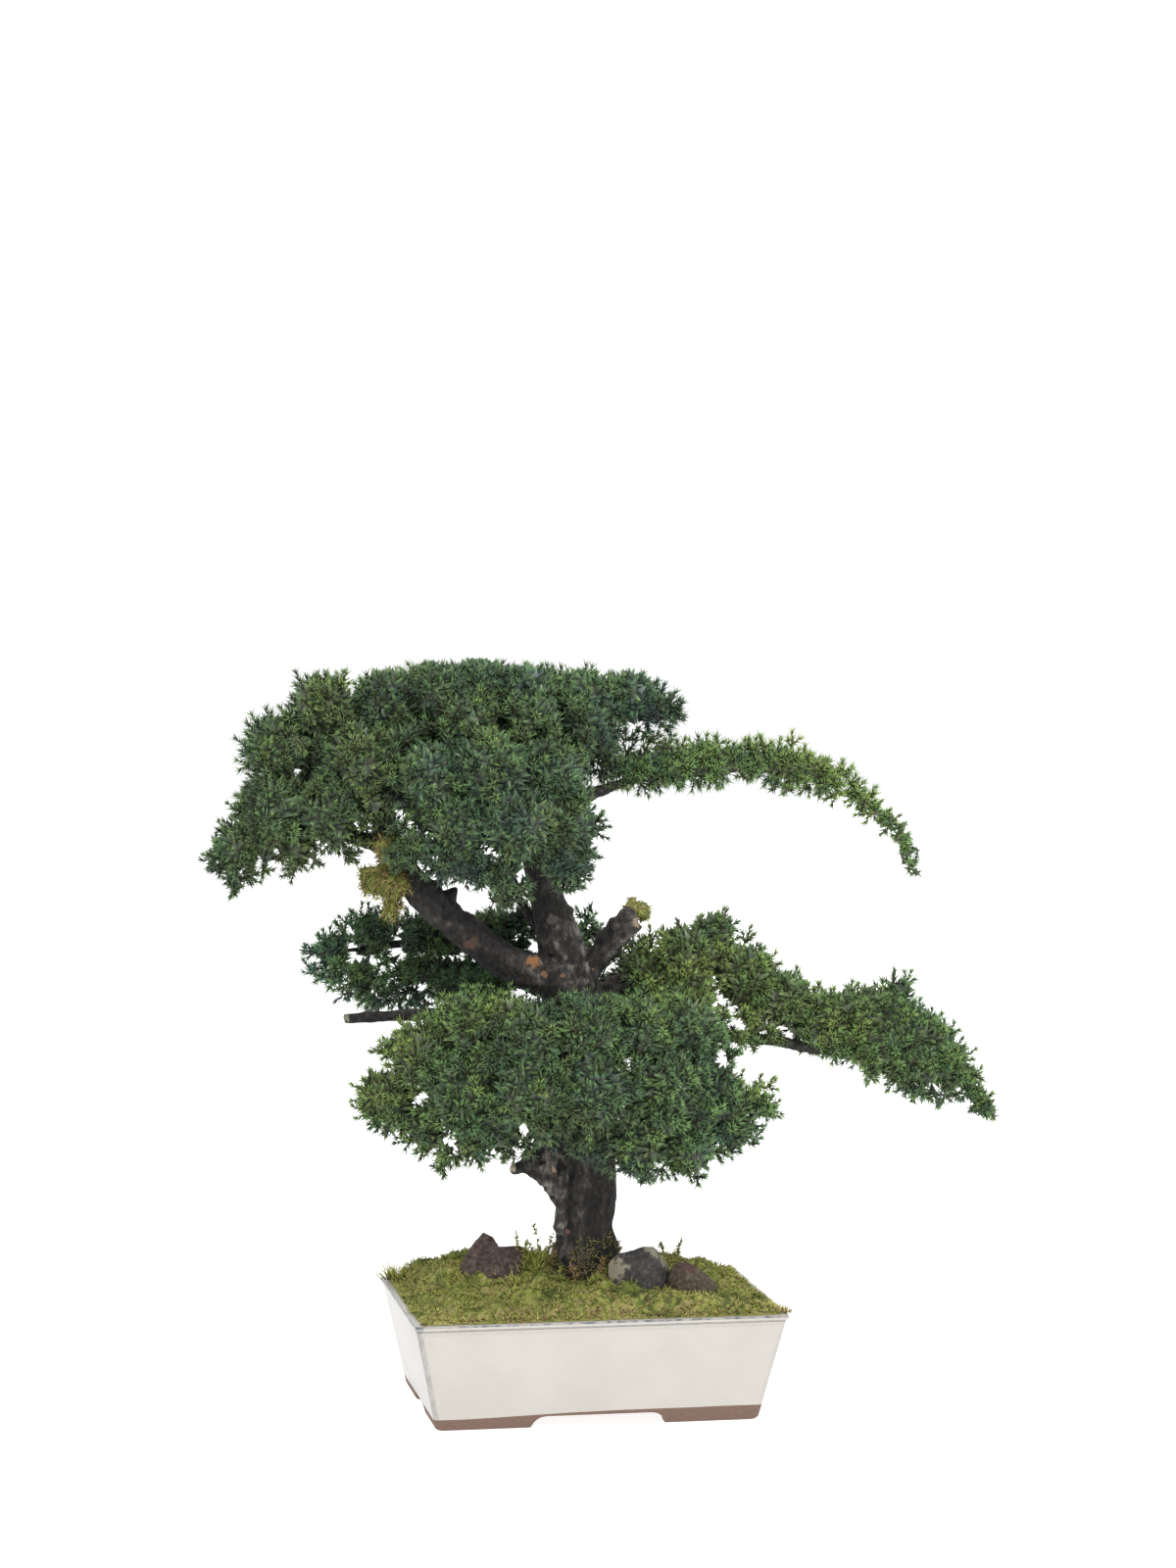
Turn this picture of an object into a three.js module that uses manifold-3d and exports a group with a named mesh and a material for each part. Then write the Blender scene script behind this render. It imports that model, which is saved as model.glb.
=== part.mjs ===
// Juniper bonsai in a glazed tray pot: millimetres, +Z up, standing on z = 0, front towards -Y.
import * as THREE from "three";
import { mergeVertices } from "three/addons/utils/BufferGeometryUtils.js";
import Module from "manifold-3d";

const wasm = await Module();
wasm.setup();

// Clearances
const GAP = 0.4; // between neighbouring solids
const CORE_GAP = 0.6; // between the cores of neighbouring pads

// Pot
const POT_LENGTH = 306;
const POT_WIDTH = 198;
const POT_HEIGHT = 90;
const POT_CORNER = 4; // radius of the vertical corners
const WALL = 9;
const WALL_SLOPE = 0.19; // mm outward for each mm of height
const FOOT_HEIGHT = 10;
const FOOT_WALL = 13; // width of the band that the feet are cut from
const FLOOR_TOP = 20;
const BAND_HEIGHT = 5;
const BAND_PROUD = 1.2;
const GROOVE_HEIGHT = 1.2;
const ARCH_LONG = 104; // opening between the feet at the front and back
const ARCH_SHORT = 54; // opening between the feet at the ends
const ARCH_CURVE = 9; // run of the curved end of each opening
const ARCH_STEP = 0.5; // height of the upright start of that curve
const DRAIN_RADIUS = 12;
const DRAIN_OFFSET = 62;

// Filling
const SCREEN_SIZE = 40;
const SCREEN_THICK = 1.5;
const SCREEN_CELLS = 3;
const SCREEN_RIB = 3;
const SOIL_EDGE = 80; // height of the soil at the pot's wall
const SOIL_SWELL = 13; // rise of the soil just inside the wall
const SOIL_MOUND = 12; // further rise round the trunk
const HUMPS = [
  [-103, 42, 42, 17],
  [100, 30, 40, 5],
  [-38, 18, 20, 11],
  [-130, 76, 14, 9],
]; // x, y, spread and height of the moss bed's humps
const MOSS_THICK = 9;
const MOSS_ROUGH = 3;
const MOSS_LIP = 2.5; // how far the moss creeps onto the flat lip
const MOSS_RIM = 2.2; // least height of the moss over the lip
const MOSS_RIM_ROUGH = 1.5;
const BED_CELLS = [12, 8]; // grid over the pot's opening
const BED_CORNER_PULL = 0.012; // how far the grid's corners are drawn in, as a share
const MOUND_CENTRE = [5, 12];
const MOUND_SPREAD = 75;

// Foliage
const NEEDLE = 7.5; // length of one needle
const NEEDLE_LEAN = 0.9; // radians between a needle and its twig
const TWIG_RADIUS = 1.6;
const TWIG_TAPER = 0.8;
const WHORLS = 1; // rows of six needles on a sprig
const WHORL_STEP = 6;
const TWIG_TIP = 5.5; // from the last whorl to the twig's point
const SPRIG_REACH = 7; // how far the sprigs stand out of a pad's core
const SLIM_CORE = 3.6; // least radius of a core
const CORE_SWELL = 1.1; // a core's lumps drawn larger, so that they close over their gaps
const CORE_MARGIN = 20; // how much wider than its lumps' centres a core is taken to be
const SPRIG_SPACING = 34; // least distance between two sprigs of one pad
const LEAST_FACE = 1.3; // least inscribed radius of a face that bears a sprig
const CORE_ROUGH = 0.08;
const CORE_RELIEF = 9; // depth of the hollows between a core's clumps
const ARM_RELIEF = 0.4; // the same on an arm, as a share of its radius
const ARM_SIDES = 6;
const TWIG_SHARE = 0.8; // most of a face's inscribed circle that a twig fills

const COLOURS = {
  glaze: 0xe6e2d8,
  screen: 0x2b2b2b,
  soil: 0x3a2c20,
  moss: 0x7d8a34,
  rockRed: 0x44342f,
  rockGrey: 0x6f7064,
  rockBrown: 0x4f4038,
  bark: 0x3b332e,
  leaf: 0x2f5c2c,
  leafBright: 0x44702c,
  leafBlue: 0x275038,
};

// Wood: each branch is a list of [x, y, z, radius] along its centre line
const BARK_FLUTE = 0.06; // depth of the three ridges along a branch, as a share of its radius
const TRUNK_FLUTE = 0.07;
const TRUNK = [
  [8, 5, 44, 17],
  [6, 5, 84, 24],
  [4, 5, 114, 28],
  [4.5, 3, 138, 25.5],
  [4, 0, 165, 24.5],
  [4.5, 0, 195, 24.5],
  [2, 0, 240, 24.5],
  [-4, 0, 285, 24],
  [-9, 0, 325, 24],
  [-12, 0, 352, 25],
  [-19, 2, 378, 20],
  [-26.5, 4, 404, 16.5],
  [-35, 5, 430, 14],
  [-42, 5, 458, 12],
  [-52, 6, 495, 9],
  [-66, 8, 530, 7],
  [-74, 8, 558, 4.5],
];
const BUTTRESS = [
  [-9, -6, 60, 9],
  [-17, -8, 112, 11],
  [-13, -9, 138, 9],
  [-16, -10, 153, 9.5],
  [-14.5, -10, 165, 9],
  [-20, -12, 180, 11.5],
  [-27, -12, 196, 13],
  [-32, -8, 214, 12],
  [-28, -4, 236, 10],
];
const LIMBS = {
  cutStub: [
    [-26, -12, 190, 11],
    [-42, -15, 200, 8.5],
    [-52, -16, 203, 7],
    [-62, -17, 201, 4.5],
  ],
  left: [
    [-10, -4, 348, 20],
    [-45, -14, 358, 15],
    [-79, -20, 378, 14.5],
    [-112, -25, 404, 14.5],
    [-141, -28, 431, 14],
    [-158, -25, 452, 12],
    [-168, -14, 480, 10],
    [-180, -4, 512, 8],
    [-196, -2, 545, 5],
  ],
  leftFork: [
    [-164, -18, 466, 9],
    [-200, -8, 476, 6.5],
    [-240, -2, 480, 5],
    [-275, 0, 470, 3.5],
  ],
  rightStub: [
    [-6, 0, 352, 16],
    [4, -5, 368, 12],
    [21, -10, 387, 10.5],
    [38, -16, 406, 10],
  ],
  second: [
    [-14, 14, 360, 10],
    [-32, 23, 390, 6],
    [-51, 26, 418, 4],
    [-57, 26, 442, 3.2],
    [-72, 22, 482, 3],
    [-84, 30, 520, 3],
  ],
  cutLeft: [
    [-8, 4, 322, 12],
    [-34, 8, 324, 7],
    [-90, 6, 327, 6],
    [-145, 2, 327, 5.5],
    [-200, 0, 325, 5],
  ],
  crownBack: [
    [-48, 6, 480, 8],
    [-62, 45, 515, 6.5],
    [-72, 85, 545, 5],
  ],
  crownFront: [
    [-46, 5, 470, 8],
    [-64, -35, 484, 6.5],
    [-88, -72, 508, 4.5],
  ],
  crownRight: [
    [-58, 6, 508, 8],
    [-28, 4, 548, 6.5],
    [15, 0, 572, 4.5],
    [45, 0, 580, 3.5],
  ],
  upperRight: [
    [-40, 8, 448, 9],
    [-24, 14, 480, 8],
    [4, 20, 505, 6.5],
    [38, 20, 517, 4.2],
    [87, 15, 524, 3.6],
    [140, 10, 528, 3.2],
    [190, 3, 525, 2.8],
    [218, 0, 512, 2.4],
  ],
  lowRight: [
    [-4, 4, 288, 14],
    [40, 8, 296, 9],
    [90, 10, 303, 7],
    [128, 8, 304, 6],
    [162, 0, 301, 5.5],
    [198, -4, 293, 5],
    [236, -6, 286, 4.2],
    [272, -9, 280, 3.5],
    [300, -10, 272, 3],
  ],
  rightPad: [
    [-2, 6, 338, 12],
    [34, 14, 350, 8],
    [78, 16, 358, 6],
    [118, 14, 362, 4.5],
    [160, 4, 340, 4],
  ],
  backLeft: [
    [-14, 8, 350, 13],
    [-36, 46, 364, 8.5],
    [-78, 88, 372, 6],
    [-125, 96, 376, 4.5],
    [-168, 84, 372, 3.5],
    [-196, 66, 372, 2.6],
  ],
  behindStub: [
    [-12, 8, 360, 12],
    [-2, 38, 372, 5],
    [2, 58, 384, 3],
  ],
  lowFront: [
    [-4, -6, 272, 13],
    [-14, -40, 286, 8],
    [-22, -80, 300, 6],
    [-34, -98, 306, 4.5],
  ],
  lowLeft: [
    [-6, -4, 290, 13],
    [-45, -28, 300, 8],
    [-96, -48, 306, 6.5],
    [-140, -40, 290, 4.5],
    [-160, -24, 272, 3.5],
  ],
  lowRightFront: [
    [-2, -6, 262, 12],
    [34, -36, 276, 8],
    [66, -56, 290, 6],
    [100, -46, 278, 4.5],
    [126, -34, 258, 3.5],
  ],
  lowBack: [
    [-4, 6, 290, 13],
    [4, 48, 302, 8],
    [24, 84, 310, 5.5],
    [70, 92, 318, 4],
  ],
};

// Foliage pads: each lump is [x, y, z, radius out to the needle tips]
const PADS = [
  {
    name: "foliage_crown_left",
    colour: "leafBright",
    lumps: [
      [-222, -10, 584, 36],
      [-254, 0, 547, 35],
      [-192, -28, 540, 38],
      [-260, -10, 497, 36],
      [-216, -18, 495, 34],
      [-287, 0, 468, 29],
      [-236, 0, 464, 26],
      [-184, 20, 508, 32],
      [-215, 40, 545, 36],
      [-235, 42, 500, 32],
    ],
    sideStems: [
      [
        [-262, -2, 478, 24],
        [-290, 0, 464, 20],
        [-316, 0, 457, 14],
      ],
      [
        [-272, 0, 466, 18],
        [-284, 0, 450, 14],
        [-290, 0, 428, 12],
      ],
    ],
  },
  {
    name: "foliage_crown_top",
    colour: "leaf",
    lumps: [
      [-166, -6, 581, 38],
      [-127, -18, 592, 37],
      [-90, -8, 594, 37],
      [-50, -12, 589, 35],
      [-4, -4, 580, 33],
      [36, 0, 588, 30],
      [-14, -6, 545, 30],
      [-90, -10, 548, 32],
      [-140, 34, 574, 36],
      [-88, 38, 586, 36],
      [-38, 36, 581, 36],
      [10, 28, 572, 32],
      [-106, -42, 572, 32],
      [-54, -42, 572, 32],
      [-8, -34, 568, 28],
    ],
    sideStems: [
      [
        [26, 0, 582, 26],
        [58, 0, 580, 20],
        [84, 0, 575, 14],
      ],
    ],
  },
  {
    name: "foliage_crown_front",
    colour: "leafBlue",
    lumps: [
      [-138, -56, 530, 37],
      [-93, -68, 534, 40],
      [-43, -56, 532, 37],
      [-117, -66, 491, 35],
      [-72, -78, 490, 38],
      [-26, -58, 485, 34],
      [-150, -58, 470, 24],
      [-116, -66, 458, 26],
      [-84, -72, 446, 22],
      [-30, -60, 456, 29],
      [-100, -38, 508, 34],
      [-50, -36, 506, 34],
      [-172, -58, 487, 17],
      [-150, -60, 494, 20],
    ],
    sideStems: [
      [
        [-80, -72, 452, 22],
        [-80, -70, 438, 18],
        [-76, -66, 422, 14],
      ],
      [
        [-174, -60, 459, 10],
        [-155, -62, 469, 17],
        [-131, -66, 470, 20],
        [-108, -68, 463, 21],
        [-88, -66, 450, 19],
      ],
    ],
  },
  {
    name: "foliage_crown_back",
    colour: "leaf",
    lumps: [
      [-180, 66, 552, 38],
      [-150, 78, 516, 36],
      [-112, 78, 556, 40],
      [-64, 82, 558, 40],
      [-18, 72, 554, 37],
      [20, 56, 548, 28],
      [-105, 88, 512, 36],
      [-58, 90, 506, 36],
      [-14, 72, 508, 31],
      [-118, 52, 528, 36],
      [-50, 54, 526, 36],
    ],
  },
  {
    name: "foliage_upper_right",
    colour: "leafBright",
    arm: true,
    lumps: [
      [16, 16, 531, 18],
      [46, 18, 529, 22],
      [79, 16, 530, 24],
      [108, 14, 532, 24],
      [138, 8, 535, 19],
      [165, 4, 531, 22],
      [192, 1, 523, 21],
      [217, 0, 510, 18],
      [238, -3, 495, 15],
      [254, -5, 482, 12],
      [267, -5, 464, 10],
      [275, -5, 449, 8],
      [280, -5, 438, 6.5],
    ],
  },
  {
    name: "foliage_back_left",
    colour: "leafBlue",
    lumps: [
      [-198, 62, 374, 29],
      [-165, 80, 386, 32],
      [-174, 78, 348, 30],
      [-126, 96, 384, 29],
      [-134, 96, 348, 28],
      [-151, 62, 342, 16],
      [-117, 72, 344, 16],
    ],
    sideStems: [
      [
        [-128, 98, 380, 24],
        [-94, 104, 378, 24],
        [-64, 106, 376, 22],
        [-46, 96, 378, 18],
      ],
      [
        [-128, 98, 352, 22],
        [-96, 100, 346, 22],
        [-62, 96, 350, 22],
        [-44, 84, 366, 20],
        [-37, 66, 381, 15],
      ],
      [
        [-64, 106, 380, 20],
        [-56, 84, 388, 21],
        [-42, 70, 396, 20],
        [-30, 64, 404, 14],
      ],
    ],
  },
  {
    name: "foliage_low_left",
    colour: "leafBright",
    lumps: [
      [-104, -50, 326, 35],
      [-142, -40, 297, 33],
      [-167, -20, 262, 31],
      [-113, -58, 272, 37],
      [-138, -30, 240, 28],
      [-98, -50, 238, 29],
      [-150, -20, 312, 21],
      [-86, -70, 300, 31],
      [-84, -66, 260, 32],
      [-76, -56, 242, 25],
      [-118, -10, 300, 32],
      [-80, -76, 337, 24],
    ],
  },
  {
    name: "foliage_low_front",
    colour: "leaf",
    lumps: [
      [-63, -88, 320, 36],
      [-16, -92, 325, 37],
      [-62, -92, 278, 37],
      [-10, -96, 276, 38],
      [-44, -60, 242, 25],
      [-8, -66, 232, 22],
      [-62, -56, 228, 20],
    ],
  },
  {
    name: "foliage_low_right",
    colour: "leafBlue",
    lumps: [
      [34, -70, 324, 35],
      [75, -52, 322, 34],
      [55, -68, 278, 37],
      [108, -38, 268, 29],
      [140, -30, 250, 22],
      [32, -58, 226, 33],
      [76, -50, 223, 34],
      [118, -32, 234, 28],
      [92, -16, 292, 28],
      [54, -62, 250, 28],
      [92, -46, 252, 27],
    ],
  },
  {
    name: "foliage_low_back",
    colour: "leafBlue",
    lumps: [
      [-26, 78, 300, 30],
      [14, 86, 318, 34],
      [56, 90, 322, 34],
      [94, 74, 326, 30],
      [34, 82, 286, 30],
      [74, 72, 290, 28],
    ],
  },
  {
    name: "foliage_right_pad",
    colour: "leafBright",
    lumps: [
      [50, 20, 357, 30],
      [90, 20, 369, 36],
      [118, 28, 389, 26],
      [138, 12, 350, 34],
      [86, -4, 340, 34],
      [172, 2, 331, 32],
      [104, 46, 356, 28],
      [148, 38, 340, 26],
      [148, 0, 328, 22],
      [145, 0, 319, 20],
      [120, 0, 322, 18],
      [150, -10, 308, 18],
      [176, -10, 304, 18],
    ],
  },
  {
    name: "foliage_low_arm",
    colour: "leaf",
    arm: true,
    lumps: [
      [196, 0, 314, 31],
      [218, -2, 311, 36],
      [248, -6, 308, 41],
      [278, -10, 298, 40],
      [306, -10, 284, 29],
      [325, -10, 264, 18],
      [342, -10, 246, 13],
      [356, -10, 233, 8],
    ],
    sideStems: [
      [
        [258, -4, 321, 24],
        [270, -2, 339, 20],
        [275, 0, 352, 12],
      ],
      [
        [262, -10, 278, 24],
        [276, -8, 260, 16],
        [282, -8, 246, 10],
      ],
      [
        [294, -8, 268, 18],
        [304, -8, 246, 11],
      ],
      [
        [236, -4, 326, 20],
        [242, -2, 341, 15],
        [243, -2, 353, 10],
      ],
    ],
  },
  {
    name: "foliage_behind_stub",
    colour: "leafBlue",
    arm: true,
    lumps: [
      [-8, 58, 362, 14],
      [0, 60, 378, 19],
      [10, 62, 392, 15],
      [16, 62, 404, 10],
    ],
    sideStems: [
      [
        [2, 60, 382, 15],
        [18, 58, 384, 14],
        [30, 56, 380, 11],
      ],
    ],
  },
];

// Rocks: the corner points of the one or two blocks that each is made of
const ROCKS = [
  {
    name: "rock_left",
    colour: "rockRed",
    blocks: [
      [
        [-79, 16, 142],
        [-73, 10, 139],
        [-88, 12, 131],
        [-97, 8, 118],
        [-99, 14, 106],
        [-90, -8, 106],
        [-72, -12, 112],
        [-58, -8, 112],
        [-84, 36, 128],
        [-62, 34, 122],
        [-94, 34, 90],
        [-94, 0, 90],
        [-58, 34, 90],
        [-60, -8, 90],
      ],
      [
        [-68, 8, 131],
        [-51, 12, 131],
        [-45, 18, 126],
        [-43, 12, 114],
        [-54, -8, 110],
        [-66, -9, 119],
        [-60, 36, 122],
        [-48, 34, 108],
        [-46, 0, 90],
        [-48, 34, 90],
        [-72, -8, 90],
        [-72, 34, 90],
      ],
    ],
  },
  {
    name: "rock_grey",
    colour: "rockGrey",
    blocks: [
      [
        [18, -34, 112],
        [19, -32, 122],
        [25, -30, 129],
        [34, -34, 133.5],
        [46, -30, 136],
        [54, -28, 135],
        [61, -26, 128],
        [66, -24, 118],
        [67, -26, 104],
        [30, -48, 110],
        [38, -50, 116],
        [46, -52, 104],
        [58, -46, 106],
        [40, -44, 128],
        [52, -42, 127],
        [36, -15, 123],
        [44, -8, 128],
        [60, -10, 118],
        [20, -36, 90],
        [30, -48, 90],
        [60, -44, 90],
        [66, -22, 90],
        [56, -8, 90],
        [42, -12, 90],
      ],
    ],
  },
  {
    name: "rock_small",
    colour: "rockBrown",
    blocks: [
      [
        [67, -38, 110],
        [70, -38, 117],
        [76, -38, 124],
        [81, -40, 125],
        [90, -38, 118],
        [99, -40, 110],
        [105, -42, 103],
        [74, -54, 106],
        [84, -58, 104],
        [96, -54, 102],
        [78, -50, 117],
        [72, -24, 114],
        [88, -22, 112],
        [100, -28, 105],
        [67, -44, 88],
        [80, -56, 88],
        [98, -52, 88],
        [102, -36, 88],
        [90, -22, 88],
        [72, -26, 88],
      ],
    ],
  },
];
const ROCK_ROOM = 1.5; // how much further than the gap a rock's corners move out for its room

// Tufts of moss on the wood
const WOOD_MOSS = [
  {
    name: "moss_left_limb",
    lumps: [
      [-167, -30, 466, 16],
      [-166, -34, 440, 15],
      [-179, -30, 443, 13],
      [-165, -32, 420, 10],
    ],
  },
  {
    name: "moss_right_stub",
    lumps: [
      [36, -10, 416, 8.5],
      [45, -12, 411, 8.5],
    ],
  },
];
const TUFT_ROUGH = 0.24;

// Seeded random numbers, so that every build is alike
function randomFrom(seed) {
  let state = seed >>> 0;
  return () => {
    state = (state + 0x6d2b79f5) >>> 0;
    let mixed = Math.imul(state ^ (state >>> 15), state | 1);
    mixed ^= mixed + Math.imul(mixed ^ (mixed >>> 7), mixed | 61);
    return ((mixed ^ (mixed >>> 14)) >>> 0) / 4294967296;
  };
}

const vector = ([x, y, z]) => new THREE.Vector3(x, y, z);

// Geometry of shared vertices, with nothing but their positions
function welded(geometry) {
  geometry.deleteAttribute("normal");
  geometry.deleteAttribute("uv");
  return mergeVertices(geometry, 1e-4);
}

// Closed solid from points and triangles
function solidFrom(points, faces) {
  const vertProperties = new Float32Array(points.flatMap((p) => [p.x, p.y, p.z]));
  const triVerts = new Uint32Array(faces.flat());
  return new wasm.Manifold(new wasm.Mesh({ numProp: 3, vertProperties, triVerts }));
}

// Closed solid from a three.js geometry
function solidOf(geometry) {
  const merged = welded(geometry);
  return new wasm.Manifold(
    new wasm.Mesh({
      numProp: 3,
      vertProperties: merged.attributes.position.array,
      triVerts: new Uint32Array(merged.index.array),
    }),
  );
}

// Solid through a stack of rings, each counter-clockwise seen from the last ring's side. With some
// relief, each four-cornered face is raised to a point, by that share of its distance from the middle
function loft(rings, relief = 0) {
  const count = rings[0].length;
  const last = (rings.length - 1) * count;
  const points = rings.flat();
  const faces = [];
  for (let start = 0; start < last; start += count) {
    const around = points.slice(start, start + 2 * count);
    const middle = around.reduce((sum, point) => sum.add(point), new THREE.Vector3());
    middle.divideScalar(2 * count);
    for (let i = 0; i < count; i += 1) {
      const here = start + i;
      const next = start + ((i + 1) % count);
      if (relief === 0) {
        faces.push([here, next, next + count], [here, next + count, here + count]);
        continue;
      }
      const corners = [here, next, next + count, here + count];
      const top = corners.reduce((sum, corner) => sum.add(points[corner]), new THREE.Vector3());
      top.divideScalar(4).sub(middle).multiplyScalar(1 + relief).add(middle);
      const peak = points.push(top) - 1;
      corners.forEach((corner, side) => faces.push([corner, corners[(side + 1) % 4], peak]));
    }
  }
  for (let i = 1; i + 1 < count; i += 1) {
    faces.push([0, i + 1, i], [last, last + i, last + i + 1]);
  }
  return solidFrom(points, faces);
}

const unite = (solids) => solids.reduce((whole, solid) => whole.add(solid));

// The largest body of a cut solid; loose scraps are dropped
function largestBody(solid) {
  const bodies = solid.decompose();
  return bodies.reduce((best, body) => (body.volume() > best.volume() ? body : best));
}

const boxOf = (solid) => {
  const { min, max } = solid.boundingBox();
  return new THREE.Box3(vector(min), vector(max));
};

// Rounded rectangle at one height
function outline(halfX, halfY, radius, z) {
  const arcSteps = 3;
  const ring = [];
  const corners = [
    [1, 1],
    [-1, 1],
    [-1, -1],
    [1, -1],
  ];
  corners.forEach(([sx, sy], quarter) => {
    for (let step = 0; step <= arcSteps; step += 1) {
      const angle = ((quarter + step / arcSteps) * Math.PI) / 2;
      const x = sx * (halfX - radius) + radius * Math.cos(angle);
      const y = sy * (halfY - radius) + radius * Math.sin(angle);
      ring.push(new THREE.Vector3(x, y, z));
    }
  });
  return ring;
}

// Opening between two feet: a flat arch with curved ends, cut along the depth axis
function archCutter(width, depth, acrossX) {
  const half = width / 2;
  const inner = half - ARCH_CURVE;
  const shape = new THREE.Shape();
  shape.moveTo(-half, -1);
  shape.lineTo(half, -1);
  const bend = half - ARCH_CURVE / 3;
  shape.lineTo(half - 1, ARCH_STEP);
  shape.quadraticCurveTo(bend, FOOT_HEIGHT, inner, FOOT_HEIGHT);
  shape.lineTo(-inner, FOOT_HEIGHT);
  shape.quadraticCurveTo(-bend, FOOT_HEIGHT, 1 - half, ARCH_STEP);
  shape.closePath();
  const geometry = new THREE.ExtrudeGeometry(shape, {
    depth,
    bevelEnabled: false,
    curveSegments: 4,
  });
  geometry.translate(0, 0, -depth / 2);
  geometry.rotateX(Math.PI / 2);
  if (acrossX) {
    geometry.rotateZ(Math.PI / 2);
  }
  return solidOf(geometry);
}

function drainHole(x) {
  const depth = FLOOR_TOP + 4;
  const geometry = new THREE.CylinderGeometry(DRAIN_RADIUS, DRAIN_RADIUS, depth, 16);
  geometry.rotateX(Math.PI / 2);
  geometry.translate(x, 0, depth / 2 - 2);
  return solidOf(geometry);
}

// Half sizes of the pot's outside wall, and of its inside, at a height
const wallX = (z) => POT_LENGTH / 2 - BAND_PROUD - (POT_HEIGHT - z) * WALL_SLOPE;
const wallY = (z) => POT_WIDTH / 2 - BAND_PROUD - (POT_HEIGHT - z) * WALL_SLOPE;
const insideX = (z) => wallX(z) + BAND_PROUD - WALL;
const insideY = (z) => wallY(z) + BAND_PROUD - WALL;

function makePot() {
  const bandBottom = POT_HEIGHT - BAND_HEIGHT;
  const grooveBottom = bandBottom - GROOVE_HEIGHT;
  const ringAt = (z, out) => outline(wallX(z) + out, wallY(z) + out, POT_CORNER, z);
  const shell = loft([
    ringAt(0, 0),
    ringAt(grooveBottom, 0),
    ringAt(grooveBottom + 0.2, -1),
    ringAt(bandBottom, -1),
    ringAt(bandBottom + 0.2, BAND_PROUD),
    ringAt(POT_HEIGHT - 1, BAND_PROUD),
    ringAt(POT_HEIGHT, BAND_PROUD - 1),
  ]);
  const inside = (z) => outline(insideX(z), insideY(z), POT_CORNER - 1, z);
  const hollow = loft([inside(FLOOR_TOP), inside(POT_HEIGHT + 2)]);
  const underX = wallX(0) - FOOT_WALL;
  const underY = wallY(0) - FOOT_WALL;
  const recess = loft([
    outline(underX, underY, POT_CORNER, -1),
    outline(underX, underY, POT_CORNER, FOOT_HEIGHT),
  ]);
  return shell
    .subtract(hollow)
    .subtract(recess)
    .subtract(archCutter(ARCH_LONG, POT_WIDTH * 2, false))
    .subtract(archCutter(ARCH_SHORT, POT_LENGTH * 2, true))
    .subtract(drainHole(-DRAIN_OFFSET))
    .subtract(drainHole(DRAIN_OFFSET));
}

function block(x, y, z, sizeX, sizeY, sizeZ) {
  return solidOf(new THREE.BoxGeometry(sizeX, sizeY, sizeZ).translate(x, y, z));
}

// Square of plastic mesh over a drain hole
function makeScreen(x) {
  const z = FLOOR_TOP + GAP + SCREEN_THICK / 2;
  const pitch = (SCREEN_SIZE - SCREEN_RIB) / SCREEN_CELLS;
  let screen = block(x, 0, z, SCREEN_SIZE, SCREEN_SIZE, SCREEN_THICK);
  for (let row = 0; row < SCREEN_CELLS; row += 1) {
    for (let column = 0; column < SCREEN_CELLS; column += 1) {
      const u = x + (column - (SCREEN_CELLS - 1) / 2) * pitch;
      const v = (row - (SCREEN_CELLS - 1) / 2) * pitch;
      const cell = block(u, v, z, pitch - SCREEN_RIB, pitch - SCREEN_RIB, SCREEN_THICK * 2);
      screen = screen.subtract(cell);
    }
  }
  return screen;
}

// Height of the soil's surface: level at the wall, mounded round the trunk and at two humps
function soilHeight(x, y) {
  const edge = Math.max(Math.abs(x) / insideX(SOIL_EDGE), Math.abs(y) / insideY(SOIL_EDGE));
  const fall = Math.max(0, 1 - edge ** 8);
  const bump = (atX, atY, spread) => Math.exp(-(((x - atX) ** 2 + (y - atY) ** 2) / spread ** 2));
  let rise = SOIL_SWELL + SOIL_MOUND * bump(...MOUND_CENTRE, MOUND_SPREAD);
  for (const [atX, atY, spread, height] of HUMPS) {
    rise += height * bump(atX, atY, spread);
  }
  return SOIL_EDGE + rise * fall;
}

// Solid between two heights over a grid that fills a rounded rectangle
function gridSolid(halfX, halfY, bottomAt, topAt) {
  const [columns, rows] = BED_CELLS;
  const width = columns + 1;
  const points = [];
  const faces = [];
  for (const heightAt of [bottomAt, topAt]) {
    for (let row = 0; row <= rows; row += 1) {
      for (let column = 0; column <= columns; column += 1) {
        const u = (column / columns) * 2 - 1;
        const v = (row / rows) * 2 - 1;
        const pull = 1 - BED_CORNER_PULL * (u * v) ** 8;
        const x = halfX * u * pull;
        const y = halfY * v * pull;
        points.push(new THREE.Vector3(x, y, heightAt(x, y, column, row)));
      }
    }
  }
  const layer = points.length / 2;
  const rim = [];
  for (let row = 0; row < rows; row += 1) {
    for (let column = 0; column < columns; column += 1) {
      const a = row * width + column;
      const b = a + 1;
      const c = b + width;
      const d = a + width;
      faces.push([a, c, b], [a, d, c]);
      faces.push([layer + a, layer + b, layer + c], [layer + a, layer + c, layer + d]);
    }
  }
  for (let column = 0; column < columns; column += 1) {
    rim.push(column);
  }
  for (let row = 0; row < rows; row += 1) {
    rim.push(row * width + columns);
  }
  for (let column = columns; column > 0; column -= 1) {
    rim.push(rows * width + column);
  }
  for (let row = rows; row > 0; row -= 1) {
    rim.push(row * width);
  }
  rim.forEach((a, i) => {
    const b = rim[(i + 1) % rim.length];
    faces.push([a, b, layer + b], [a, layer + b, layer + a]);
  });
  return solidFrom(points, faces);
}

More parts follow.
